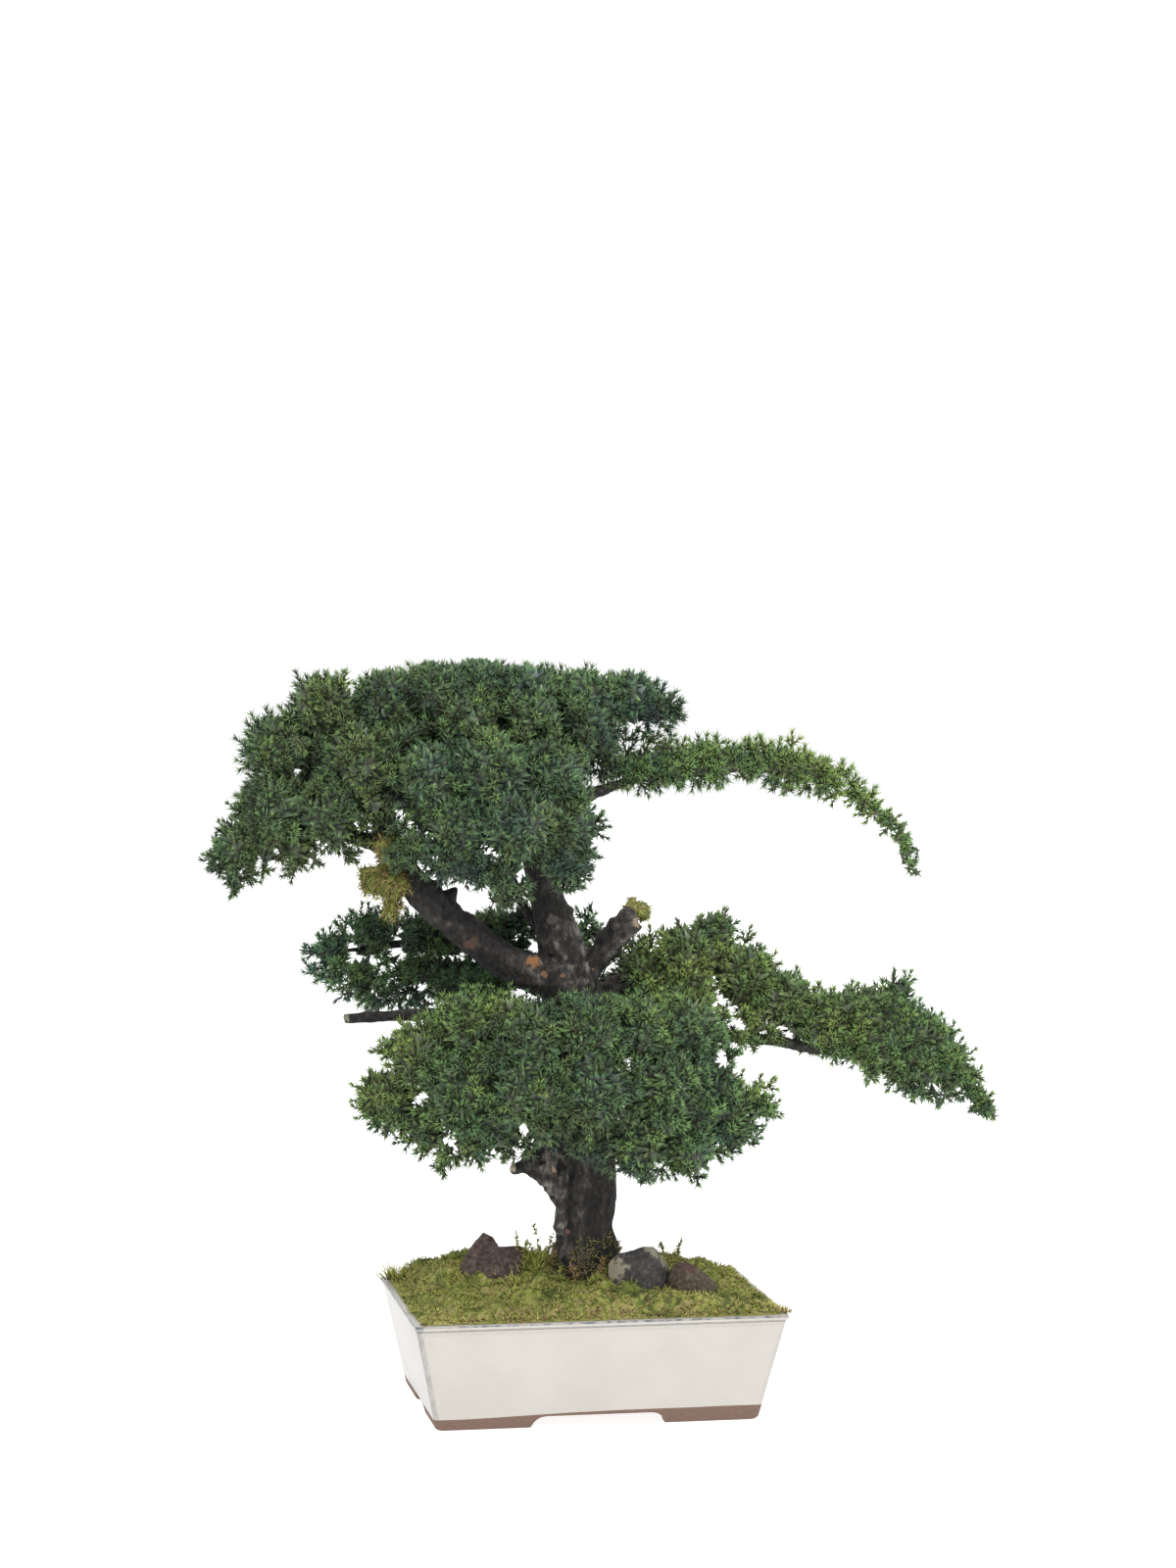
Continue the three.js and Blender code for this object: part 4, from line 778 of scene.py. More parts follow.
def pad_core(name, pad, seed):
    """The inner foliage of a pad: a closed skin whose every face is raised to a needle's point."""
    lumps = LUMPS_OF[name].copy()
    depth = np.full(len(lumps), CORE_DEPTH)
    if pad.get("sparse"):
        depth[:len(pad["lumps"])] = SPARSE_DEPTH
    lumps[:, 3] = np.maximum(lumps[:, 3] - depth, SLIM_CORE)
    points, faces = [], []
    count = 0
    for x, y, z, radius in lumps:
        bpy.ops.mesh.primitive_ico_sphere_add(subdivisions=3, radius=radius * MM)
        ball = bpy.context.object
        corners = points_of(ball)
        faces.append(faces_of(ball) + count)
        points.append(corners + placed([x, y, z]))
        count += len(corners)
        bpy.data.objects.remove(ball)
    piece = mesh_object(name + "_ball", np.concatenate(points), np.concatenate(faces), NEEDLES)
    remeshed(piece, CORE_VOXEL)
    places, faces = places_of(piece), faces_of(piece)
    bpy.data.objects.remove(piece)
    places = onto_skin(places, lumps, CORE_BLEND, 2)
    _, out, _ = skin(places, lumps, CORE_BLEND)
    places = eased(places)
    random = np.random.default_rng(seed)
    rough = random.uniform(-CORE_ROUGH, CORE_ROUGH, places.shape)
    places += out * (noise(places, 14, 5) * CORE_SWELL)[:, None] + rough
    across = places[faces[:, 2]] - places[faces[:, 0]]
    normal = unit(np.cross(across, places[faces[:, 3]] - places[faces[:, 1]]))
    way = unit(normal + UP * 0.3 + random.normal(size=normal.shape) * 0.5)
    tips = places[faces].mean(axis=1) + way * random.uniform(*SPIKES, len(faces))[:, None]
    first_tip = len(places)
    corners = [faces, np.roll(faces, -1, axis=1), np.repeat(first_tip + np.arange(len(faces))[:, None], 4, 1)]
    sides = np.stack(corners, axis=2).reshape(-1, 3)
    everything = np.clip(np.concatenate([places, tips]), LOW, HIGH)
    tint = tint_at(everything, pad) + random.normal(size=len(everything)) * 0.08
    # Painted shade at the base of the inner needles, and painted light at their tips
    height = np.concatenate([np.zeros(len(places)), random.uniform(0.3, 0.8, len(tips))])
    uv = np.stack([np.clip(tint, *TINT_SPAN), height], axis=1)
    return mesh_object(name + "_inner", placed(everything), sides, NEEDLES, uv, smooth=False)


# The tints run from blue-green to yellow-green and the twigs' brown, the light from painted shade at the root
# to the tip
NEEDLES = mapped_material(
    "juniper_needles", 0.4, 0.42,
    [(0.0, srgb(94, 142, 130)), (0.3, srgb(120, 172, 114)), (0.55, srgb(156, 202, 106)),
     (0.8, srgb(188, 220, 106)), (0.95, srgb(214, 230, 122)), (0.97, srgb(124, 100, 84))],
    [(0.0, srgb(98, 74, 126)), (0.35, srgb(152, 144, 178)), (1.0, srgb(255, 255, 255))],
)
for number, (name, pad) in enumerate(PADS.items()):
    points, faces, uv = grow_pad(name, pad, 400 + number)
    stands_for(mesh_object(name + "_sprays", placed(points), faces, NEEDLES, uv), "needles", name)
    stands_for(pad_core(name, pad, 500 + number), "needles")


# Wood: centre lines that the bark runs along, [x, y, z, radius]

BARK_LINES = [
    [[8, 5, 60, 22], [4.5, 3, 138, 25], [4.5, 0, 195, 24], [-4, 0, 285, 24], [-12, 0, 352, 25],
     [-26.5, 4, 404, 16.5], [-42, 5, 458, 12], [-74, 8, 558, 5]],
    [[-9, -6, 60, 9], [-13, -9, 138, 9], [-16, -10, 153, 9.5], [-20, -12, 180, 11.5], [-27, -12, 196, 13],
     [-32, -8, 214, 12], [-28, -4, 236, 10]],
    [[-26, -12, 190, 11], [-42, -15, 200, 8.5], [-62, -17, 201, 4.5]],
    [[-10, -4, 348, 20], [-79, -20, 378, 14.5], [-141, -28, 431, 14], [-168, -14, 480, 10]],
    [[-6, 0, 352, 16], [4, -5, 368, 12], [38, -16, 406, 10]],
]
WOOD_VOXEL = 2.05
BARK_STRETCH = 5  # how much longer the bark's ridges are than wide
RIDGE_WIDTH = 8
RIDGE_DEPTH = 0.08  # as a share of the stem's radius
THICKEST = 24  # stems thicker than this have no deeper relief
GRAIN_WIDTH = 3.5
GRAIN_DEPTH = 0.04
WARTS = [(6, 1.7), (3.6, 1.1)]  # width and height of the bumps on the knotted parts
# Knotted parts of the wood: middle and half size of each
KNOTTED = [([0, -8, 368], [62, 40, 48]), ([-30, -12, 175], [22, 24, 50]), ([-112, -25, 405], [22, 20, 30])]
CREASE = [-12.5, 1.8, 135, 214]  # place across, half width and span in height between trunk and side stem
# Knots and scars on the wood: place, radius and how far each stands out
KNOTS = [
    [-48, -22, 379, 8, 3.0], [-38, -22, 364, 8, 3.5], [-24, -26, 360, 6, 2.5], [3, -24, 362, 7, 2.5],
    [14, -18, 360, 5, 2.0], [-38, -24, 190, 6, 2.0], [-28, -24, 180, 6, 2.0], [-26, -14, 150, 7, 3.0],
    [-49, -16, 212, 5, 3.0], [-117, -26, 428, 8, 9.0], [10, -18, 335, 8, 2.0], [-12, 2, 412, 6, 3.0],
    [24, 2, 132, 9, 2.0], [25, -2, 173, 12, 1.6],
    [29, -4, 150, 16, -4.0], [-128, -28, 437, 6, 5.0],
]
EXTRA_WOOD = [
    [-47, -18, 369, 9.5], [-49, -14, 213, 4.5], [-60, -19, 201, 5], [15, -10, 390, 9], [24, -13, 399, 9],
    [32, -16, 407, 9],
]
HOLE_WIDTH = 5
HOLE_DEPTH = 1.4
CREASE_DEPTH = 1.6
OFF_LINES = 4  # wood further than this outside the bark lines counts as a twig of TWIG_RADIUS
TWIG_RADIUS = 5


def stem_frame(points):
    """For points in mm: the offset from the nearest centre line, the way along it and the radius there."""
    best = np.full(len(points), 1e9)
    offset = np.zeros((len(points), 3))
    along, thick = np.zeros(len(points)), np.zeros(len(points))
    for line in BARK_LINES:
        travelled = 0.0
        for start, end in zip(np.array(line, float), np.array(line, float)[1:]):
            step = end[:3] - start[:3]
            length = np.linalg.norm(step)
            share = np.clip((points - start[:3]) @ step / length**2, 0, 1)
            away = points - start[:3] - share[:, None] * step
            radius = start[3] + share * (end[3] - start[3])
            far = np.linalg.norm(away, axis=1) - radius
            nearer = far < best
            best[nearer], offset[nearer] = far[nearer], away[nearer]
            along[nearer], thick[nearer] = (travelled + share * length)[nearer], radius[nearer]
            travelled += length
    thick[best > OFF_LINES] = TWIG_RADIUS
    return offset, along, thick


def copied(node, name, material):
    """New piece with the mesh of a CAD node."""
    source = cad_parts[node]
    mesh = source.data.copy()
    mesh.transform(source.matrix_world)
    mesh.materials.clear()
    mesh.materials.append(material)
    for layer in list(mesh.uv_layers):
        mesh.uv_layers.remove(layer)
    return linked(name, mesh)


def wood_material():
    """The piece's "tone" runs from the dark of the furrows to the pale of the ridges; it holds the bark's own
    colour with painted light and shade.
    """
    shader = Shader("bark", 0.78, 0.25)
    tone = shader.node("Attribute", attribute_name="tone").outputs["Fac"]
    fine = shader.noise(380, 5, shader.place((1, 1, 0.5)), 0.75)
    coarse = shader.noise(210, 4, shader.place((1, 1, 0.6)), 0.7)
    speckle = shader.maths("MULTIPLY_ADD", coarse, 0.9, shader.maths("MULTIPLY", fine, 0.9))
    shade = shader.maths("ADD", speckle, shader.maths("SUBTRACT", tone, 0.9))
    bark = shader.ramp(shade, (0.1, srgb(26, 25, 25)), (0.4, srgb(48, 46, 45)), (0.62, srgb(78, 75, 72)),
                       (0.9, srgb(140, 134, 126)))
    shader.colour(shader.patched(bark, PALE_SPOTS))
    shader.bump(speckle, 0.002)
    return shader.material


# Pale cut faces, scars and stained ends on the wood: place, radius and colour
PALE_SPOTS = [
    ([-63, -22, 202], 3.5, (196, 178, 160)), ([-50, -18, 214], 3.5, (160, 134, 112)),
    ([-28, -24, 200], 3.5, (176, 146, 120)), ([-48, -27, 374], 7, (152, 108, 74)),
    ([-39, -27, 363], 3.5, (136, 104, 78)), ([-23, -23, 361], 3, (130, 100, 76)),
    ([4, -17, 365], 2.5, (136, 106, 80)), ([15, -15, 364], 3.5, (146, 108, 78)),
    ([37, -20, 405], 7, (156, 138, 116)), ([-200, 0, 327], 7, (120, 124, 104)),
    ([-155, -38, 443], 5, (104, 74, 62)), ([-102, -36, 390], 7, (82, 64, 54)),
    ([-15, -18, 147], 3.5, (112, 86, 68)), ([-30, -12, 405], 5, (96, 92, 86)),
]


def joined_with_balls(piece, balls):
    """The piece with balls of [x, y, z, radius] in its mesh."""
    joined = [piece]
    for x, y, z, radius in balls:
        bpy.ops.mesh.primitive_ico_sphere_add(subdivisions=3, radius=radius * MM)
        ball = bpy.context.object
        ball.data.transform(Matrix.Translation(placed([x, y, z])))
        ball.data.materials.append(piece.data.materials[0])
        joined.append(ball)
    bpy.ops.object.select_all(action="DESELECT")
    for one in joined:
        one.select_set(True)
    bpy.context.view_layer.objects.active = piece
    bpy.ops.object.join()
    return piece


def make_wood():
    piece = joined_with_balls(copied("trunk", "bark", wood_material()), EXTRA_WOOD)
    remeshed(piece, WOOD_VOXEL)
    smoothed(piece, 5)
    points = places_of(piece)
    normals = normals_of(piece)
    offset, along, thick = stem_frame(points)
    grain = offset + UP * (along / BARK_STRETCH)[:, None]
    knotted = np.zeros(len(points))
    for middle, half in KNOTTED:
        away = np.linalg.norm((points - middle) / half, axis=1)
        knotted = np.maximum(knotted, np.clip(2.2 - 2 * away, 0, 1))
    ridges = 0.5 - 2 * np.abs(noise(grain, RIDGE_WIDTH, 2))
    furrows = noise(grain, GRAIN_WIDTH, 4)
    bumps = [height * noise(points, width, 5) for width, height in WARTS]
    relief = RIDGE_DEPTH * ridges + GRAIN_DEPTH * furrows
    move = np.minimum(thick, THICKEST) * (0.6 - 0.2 * knotted) * relief
    move += (0.3 + 0.7 * knotted) * sum(bumps)
    side_stem = np.clip((-12 - points[:, 0]) / 4, 0, 1) * (points[:, 2] < 225)
    holes = np.clip(noise(points, HOLE_WIDTH, 12) * 3 - 0.9, 0, 1) * np.maximum(0.6 * knotted, side_stem)
    move -= HOLE_DEPTH * holes
    at, width, low, high = CREASE
    at = at + 2 * noise(points * [0, 0, 1], 18, 13)
    crease = np.exp(-(((points[:, 0] - at) / width) ** 2)) * (points[:, 1] < -8)
    crease *= np.clip((points[:, 2] - low) / 8, 0, 1) * np.clip((high - points[:, 2]) / 8, 0, 1)
    for x, y, z, radius, height in KNOTS:
        near = np.linalg.norm(points - [x, y, z], axis=1) / radius
        move += height * np.clip(1 - near**2, 0, 1) ** 2
    move_points(piece, placed(points + normals * (move - CREASE_DEPTH * crease)[:, None]))
    # Tone: the bark's own colour, darker in the furrows and paler on the ridges and bumps, which is partly
    # painted shade and light; painted shade in the crease and the holes, and painted light on faces turned up
    # or to the right
    tone = 0.38 + 0.12 * knotted + (0.11 * ridges + 0.09 * furrows) * (0.8 + 0.2 * knotted)
    tone += (0.1 * (0.3 + knotted) * sum(bumps) + 0.1 * noise(points, 22, 7) + 0.06 * normals[:, 2]
             - 0.22 * crease)
    tone += 0.14 * side_stem + 0.08 * (normals[:, 0] > 0.8) - 0.4 * holes
    limb = np.clip((-45 - points[:, 0]) / 30, 0, 1) * (points[:, 2] > 340)
    stub = np.clip((points[:, 0] - 16) / 10, 0, 1) * (points[:, 2] > 375)
    # A painted highlight in a band down the front of the trunk, below the side stem
    band = np.exp(-(((points[:, 0] + 6) / 4) ** 2)) * (points[:, 1] < -8) * (points[:, 2] < 225)
    tone += 0.1 * stub - 0.01 * limb + 0.14 * band
    # Painted shade on the wood high up on the left, under the crown, the more so the more a face turns up
    tone -= 0.12 * (points[:, 2] > 385) * (points[:, 0] < -60) * np.clip(normals[:, 2] + 0.4, 0, 1)
    piece.data.attributes.new("tone", "FLOAT", "POINT").data.foreach_set("value", tone.astype(np.float32))
    return stands_for(piece, "bark", "trunk")


BARK = make_wood()


# Moss: the bed is shaped as in the part's source, with more mounds and a wider lip

INSIDE = [144, 90]  # half sizes of the pot's opening at the rim
MOSS_LIP = 4.5
LIP_HEIGHTS = [90.1, 90.6]  # of the underside and the edge of the moss that lies on the rim
EDGE_WAVE = 1.6
CORNER_PULL = 0.012
BED_STEP = 3
BED_THICK = 9
SOIL_EDGE = 80
SOIL_SWELL = 13
MOSS_THICK = 8
MOUNDS = [[5, 12, 75, 12], [-103, 42, 42, 17], [100, 30, 40, 5], [-38, 18, 20, 11], [-130, 76, 14, 9]]
RIM_HEIGHT = 91.5
STRANDS = 12000
STRAND_POINTS = 7
STRAND_LENGTH = (3, 7)
STRAND_WIDTH = 1.1
ROOT_DEPTH = 0.8
TUFT_TINT = 0.5
MOSS_VOXEL = 2.4
MOSS_SPAN = (0.02, 0.98)  # the part of the moss's colour scale that is used
# Painted shade on the moss in front of the trunk: x, y and half widths across x and y
MOUND_SHADE = [-20, -32, 34, 16]


def moss_height(x, y):
    edge = np.maximum(np.abs(x) / (INSIDE[0] - 2), np.abs(y) / (INSIDE[1] - 2))
    rise = SOIL_SWELL + sum(h * np.exp(-((x - a) ** 2 + (y - b) ** 2) / s**2) for a, b, s, h in MOUNDS)
    height = SOIL_EDGE + MOSS_THICK + rise * np.maximum(0, 1 - edge**8)
    places = np.stack([x, y, height], axis=-1)
    flat = places.reshape(-1, 3)
    rough = 4.8 * noise(flat, 16, 1) + 3 * noise(flat, 8, 2) + 1.2 * noise(flat, 3.5, 3)
    least = RIM_HEIGHT + 1.5 * noise(flat, 6, 4)
    return np.maximum(height + rough.reshape(height.shape), least.reshape(height.shape))


def strand_arrays(bases, ways, lengths, width, tints, random):
    """Bent three-sided strands: points, faces and map."""
    count = len(bases)
    side = unit(np.cross(ways, random.normal(size=(count, 3))))
    other = np.cross(ways, side)
    bend = side * random.uniform(-0.5, 0.5, (count, 1)) + UP * random.uniform(-0.4, 0.3, (count, 1))
    middles = bases + ways * lengths[:, None] * 0.55
    tips = bases + (ways + bend) * lengths[:, None]
    points = np.empty((count, STRAND_POINTS, 3))
    for k in range(3):
        angle = 2 * math.pi * k / 3
        spoke = side * math.cos(angle) + other * math.sin(angle)
        points[:, k] = bases + spoke * width * 0.5
        points[:, 3 + k] = middles + spoke * width * 0.42
    points[:, 6] = tips
    pattern = [[0, 2, 1]]
    for k in range(3):
        n = (k + 1) % 3
        pattern += [[k, n, 3 + n], [k, 3 + n, 3 + k], [3 + k, 3 + n, 6]]
    faces = np.array(pattern)[None] + STRAND_POINTS * np.arange(count)[:, None, None]
    u = tints[:, None] + np.array([-0.01, 0.01, 0, -0.01, 0.01, 0, 0])
    v = np.broadcast_to([0, 0, 0.02, 0.5, 0.5, 0.52, 1.0], u.shape)
    uv = np.stack([np.clip(u, *MOSS_SPAN), v], axis=2)
    return points.reshape(-1, 3), faces.reshape(-1, 3), uv.reshape(-1, 2)


def moss_tint(places, random):
    """Tan towards the front rim, with green and yellow-green drifts elsewhere."""
    front = np.clip((-places[:, 1] - 62) / 30, 0, 1)
    tint = (0.44 + 0.18 * noise(places, 26, 7) + 0.2 * noise(places, 9, 8)
            + random.normal(size=len(places)) * 0.1)
    tan = random.random(len(places)) < 0.16 + 0.4 * front + 0.2 * noise(places, 14, 9)
    return np.where(tan, random.uniform(0.72, 0.98, len(places)), tint)


def moss_light(places):
    """Painted light and shade: dark hollows and lit cushions, more light right of x 60, and painted shade on
    a mound in front of the trunk.
    """
    light = 0.9 + 0.3 * noise(places, 20, 12) + 0.2 * noise(places, 7, 13) + 0.1 * (places[:, 0] > 60)
    x, y, wide, deep = MOUND_SHADE
    light -= 0.35 * np.exp(-(((places[:, 0] - x) / wide) ** 2) - ((places[:, 1] - y) / deep) ** 2)
    return np.clip(light, 0.3, 1)


def make_bed():
    """The carpet, a closed sheet with its edge on the rim, and the strands that stand on it."""
    random = np.random.default_rng(70)
    half = np.array(INSIDE) + MOSS_LIP
    columns, rows = (int(2 * size / BED_STEP) for size in half)
    u, v = np.meshgrid(np.linspace(-1, 1, columns + 1), np.linspace(-1, 1, rows + 1), indexing="ij")
    pull = 1 - CORNER_PULL * (u * v) ** 8
    flat = np.stack([u * half[0], v * half[1], u * 0], axis=-1).reshape(-1, 3)
    wave = EDGE_WAVE * noise(flat, 9, 6).reshape(u.shape)
    x = u * pull * (half[0] + wave)
    y = v * pull * (half[1] + wave)
    top = moss_height(x, y)
    rim = (np.abs(u) > 1 - 1e-9) | (np.abs(v) > 1 - 1e-9)
    inner = (np.abs(x) < INSIDE[0] - 1) & (np.abs(y) < INSIDE[1] - 1)
    bottom = np.where(inner, np.maximum(top - BED_THICK, SOIL_EDGE), LIP_HEIGHTS[0])
    top = np.where(rim, LIP_HEIGHTS[1], top)
    above = np.stack([x, y, top], axis=-1).reshape(-1, 3)
    below = np.stack([x, y, bottom], axis=-1).reshape(-1, 3)
    index = np.arange((columns + 1) * (rows + 1)).reshape(columns + 1, rows + 1)
    a, b, c, d = index[:-1, :-1], index[1:, :-1], index[1:, 1:], index[:-1, 1:]
    upper = np.stack([a, b, c, d], axis=-1).reshape(-1, 4)
    border = np.concatenate([index[:, 0], index[-1, 1:], index[-2::-1, -1], index[0, -2:0:-1]])
    after = np.roll(border, -1)
    step = len(above)
    sides = np.stack([border + step, after + step, after, border], axis=-1)
    faces = np.concatenate([upper, upper[:, ::-1] + step, sides])
    points = np.concatenate([above, below])
    tint = np.clip(moss_tint(points, random) - 0.05, *MOSS_SPAN)
    # Painted shade on the carpet under the strands, with the painted light and shade of moss_light
    shade = random.uniform(0.05, 0.4, len(tint)) * moss_light(points)
    uv = np.stack([tint + random.uniform(-0.01, 0.01, len(tint)), shade], axis=1)
    stands_for(mesh_object("moss_carpet", placed(points), faces, MOSS, uv), "moss", "moss_bed")
    share = random.uniform(-1, 1, (STRANDS, 2))
    place = share * (half - 1)
    bases = np.column_stack([place, moss_height(*place.T) - ROOT_DEPTH])
    beside = 1.5
    rise_x = (moss_height(place[:, 0] + beside, place[:, 1]) - bases[:, 2] - ROOT_DEPTH) / beside
    rise_y = (moss_height(place[:, 0], place[:, 1] + beside) - bases[:, 2] - ROOT_DEPTH) / beside
    normals = unit(np.column_stack([-rise_x, -rise_y, np.ones(STRANDS)]))
    outward = np.column_stack([share**9, np.zeros(STRANDS)]) * 0.7
    swirl = np.stack([noise(bases, 9, seed) for seed in (21, 22, 23)], axis=1)
    ways = unit(normals * 0.55 + outward + swirl * 1.5 + random.normal(size=(STRANDS, 3)) * 0.55)
    lengths = random.uniform(*STRAND_LENGTH, STRANDS)
    points, faces, uv = strand_arrays(bases, ways, lengths, STRAND_WIDTH, moss_tint(bases, random), random)
    uv[:, 1] *= np.repeat(moss_light(bases), STRAND_POINTS)
    stands_for(mesh_object("moss_strands", placed(points), faces, MOSS, uv), "moss")


# The tints run from dark green by yellow-green to tan and brown, the light from painted shade at the root to
# the tip
MOSS = mapped_material(
    "moss", 0.8, 0.2,
    [(0.0, srgb(80, 88, 58)), (0.3, srgb(134, 146, 76)), (0.5, srgb(182, 190, 96)),
     (0.68, srgb(210, 208, 124)), (0.8, srgb(198, 174, 124)), (1.0, srgb(150, 118, 86))],
    [(0.0, 0.2), (0.45, 0.75), (1.0, 1.0)],
)
make_bed()


def make_moss_tuft(node, count, seed, light, longest):
    """Rough skin over a CAD tuft, with strands standing and hanging from it."""
    random = np.random.default_rng(seed)
    piece = copied(node, node + "_ball", MOSS)
    remeshed(piece, MOSS_VOXEL)
    smoothed(piece, 4)
    points, normals, faces = places_of(piece), normals_of(piece), faces_of(piece)
    bpy.data.objects.remove(piece)
    swell = 0.4 * longest * noise(points, 11, 1) - 0.1 * longest + 1.6 * noise(points, 4, 2)
    points += normals * swell[:, None]
    tint = TUFT_TINT + 0.25 * noise(points, 9, 3) + random.normal(size=len(points)) * 0.06
    # Painted shade on the skin under the strands
    uv = np.stack([np.clip(tint, *MOSS_SPAN), random.uniform(0.0, 0.25, len(tint))], axis=1)
    stands_for(mesh_object(node + "_mat", placed(points), faces, MOSS, uv), "moss", node)
    chosen = random.integers(0, len(points), count)
    bases = points[chosen] - normals[chosen] * ROOT_DEPTH
    ways = unit(normals[chosen] * 0.7 + random.normal(size=(count, 3)) * 0.6 - UP * 0.35)
    brown = random.random(count) < 0.45 + 0.5 * noise(bases, 14, 15)
    tints = np.where(brown, random.uniform(0.78, 0.98, count), 0.36 + random.normal(size=count) * 0.16)
    lengths = random.uniform(2.5, longest, count)
    points, faces, uv = strand_arrays(bases, ways, lengths, STRAND_WIDTH, tints, random)
    uv[:, 1] *= light
    stands_for(mesh_object(node + "_strands", placed(points), faces, MOSS, uv), "moss")


make_moss_tuft("moss_left_limb", 1500, 71, 0.66, 10)
make_moss_tuft("moss_right_stub", 260, 72, 0.8, 5)


# Moss that climbs the foot of the trunk, and taller sprouts beside it
CLIMB_FROM, CLIMB_TO = 104, 146
CLIMBERS = 1800
SPROUTS = [  # place, height, spread, strands and tint
    [-31, 8, 17, 7, 60, 0.54], [-42, 7, 14, 12, 110, 0.48],
    [-24, -30, 11, 5, 26, 0.3], [6, -34, 10, 6, 24, 0.4], [-60, -20, 12, 8, 30, 0.62],
    [-143, 74, 17, 9, 110, 0.55], [144, -80, 9, 9, 90, 0.66], [152, -86, 7, 5, 30, 0.78],
    [-128, 84, 11, 7, 60, 0.5],
]
# Single moss stems with short leaves: place, height, lean across and tint
MOSS_STEMS = [
    [-33, 6, 34, -7, 0.56], [-28, 5, 26, 5, 0.6], [-36, 3, 24, -9, 0.5], [-51, 8, 29, -3, 0.6],
    [-47, 8, 22, 3, 0.62], [-24, -26, 15, 3, 0.4], [9, -30, 20, 4, 0.9], [-10, -32, 17, -5, 0.92],
    [96, 62, 17, 4, 0.6], [84, 60, 14, -4, 0.6],
]
LEAVES = 44  # on each of them
# Strands that lean over the rim in front and on the right: how many, the half sizes of the line where
# they grow, how many of them are in front, and the size of the patches in which they grow
FRINGE = 1500
FRINGE_LINE = [142, 88]
FRINGE_FRONT = 0.6
FRINGE_PATCH = 22


def climbing_moss(random):
    """Bases, ways, lengths, tints and light of the strands on the foot of the trunk."""
    points, normals = places_of(BARK), normals_of(BARK)
    height = (points[:, 2] - CLIMB_FROM) / (CLIMB_TO - CLIMB_FROM)
    near = 0.7 - height + 0.5 * noise(points, 12, 14) - 0.3 * (normals[:, 1] > 0.2)
    chosen = np.flatnonzero((height > 0) & (near > 0) & (points[:, 2] < CLIMB_TO))
    count = min(CLIMBERS, len(chosen))
    chosen = random.choice(chosen, count, replace=False)
    bases = points[chosen] - normals[chosen] * 0.6
    ways = unit(normals[chosen] + UP * 0.3 + random.normal(size=(count, 3)) * 0.7)
    lengths = random.uniform(3, 8, count)
    brown = random.random(count) < 0.5
    tints = np.where(brown, random.uniform(0.84, 0.98, count), random.uniform(0.02, 0.4, count))
    return bases, ways, lengths, tints, np.full(count, 0.62)


def sprout(random, x, y, tall, spread, count, tint):
    """The same of a group of upright strands."""
    at = random.normal(size=(count, 2)) * spread / 2 + [x, y]
    bases = np.column_stack([at, moss_height(*at.T) - 1])
    upright = np.column_stack([(at - [x, y]) / 12, np.ones(count)])
    ways = unit(upright + random.normal(size=(count, 3)) * 0.15)
    lengths = tall * random.uniform(0.5, 1, count)
    return bases, ways, lengths, tint + random.normal(size=count) * 0.08, np.ones(count)


def moss_stem(random, x, y, tall, lean, tint):
    """The same of one stem and the leaves along it."""
    root = np.array([x, y, moss_height(np.array([x]), np.array([y]))[0] - 2])
    share = np.append(0, random.uniform(0.2, 1, LEAVES))
    bases = root + np.outer(share, [0, 0, tall]) + np.outer(share**2, [lean, 0, 0])
    leaf_ways = unit(random.normal(size=(LEAVES, 3)) + UP * 0.7)
    ways = np.concatenate([unit(np.array([[lean * 0.8, 0, tall]])), leaf_ways])
    lengths = np.append(tall, random.uniform(2.5, 5.5, LEAVES))
    return bases, ways, lengths, tint + random.normal(size=LEAVES + 1) * 0.08, np.full(LEAVES + 1, 0.9)


def fringe(random):
    """The same of the strands that lean over the rim."""
    in_front = (random.random(FRINGE) < FRINGE_FRONT)[:, None]
    along = random.uniform(-1, 1, FRINGE)
    front = np.column_stack([along * FRINGE_LINE[0], np.full(FRINGE, -FRINGE_LINE[1])])
    at_right = np.column_stack([np.full(FRINGE, FRINGE_LINE[0]), along * FRINGE_LINE[1]])
    at = np.where(in_front, front, at_right) + random.normal(size=(FRINGE, 2)) * 1.5
    outwards = np.where(in_front, [[0, -1]], [[1, 0]])
    grows = noise(np.column_stack([at, np.zeros(FRINGE)]), FRINGE_PATCH, 16) > -0.05
    at, outwards = at[grows], outwards[grows]
    count = len(at)
    bases = np.column_stack([at, moss_height(*at.T) - 1])
    outwards = outwards * random.uniform(0.5, 1.2, (count, 1))
    leaning = np.column_stack([outwards, random.uniform(0.1, 0.8, count)])
    ways = unit(leaning + random.normal(size=(count, 3)) * 0.35)
    lengths = random.uniform(4, 9, count)
    return bases, ways, lengths, moss_tint(bases, random), np.full(count, 0.95)


def make_sprouts():
    random = np.random.default_rng(73)
    groups = [climbing_moss(random)]
    groups += [sprout(random, *row) for row in SPROUTS]
    groups += [moss_stem(random, *row) for row in MOSS_STEMS]
    groups.append(fringe(random))
    bases, ways, lengths, tints, shades = (np.concatenate(parts) for parts in zip(*groups))
    points, faces, uv = strand_arrays(bases, ways, lengths, STRAND_WIDTH, tints, random)
    uv[:, 1] *= np.repeat(shades, STRAND_POINTS)
    stands_for(mesh_object("moss_sprouts", placed(points), faces, MOSS, uv), "moss")


make_sprouts()


# Rocks

ROCK_RELIEF = [(0.8, 9), (0.45, 4), (0.25, 2.2)]  # height and width of the bumps


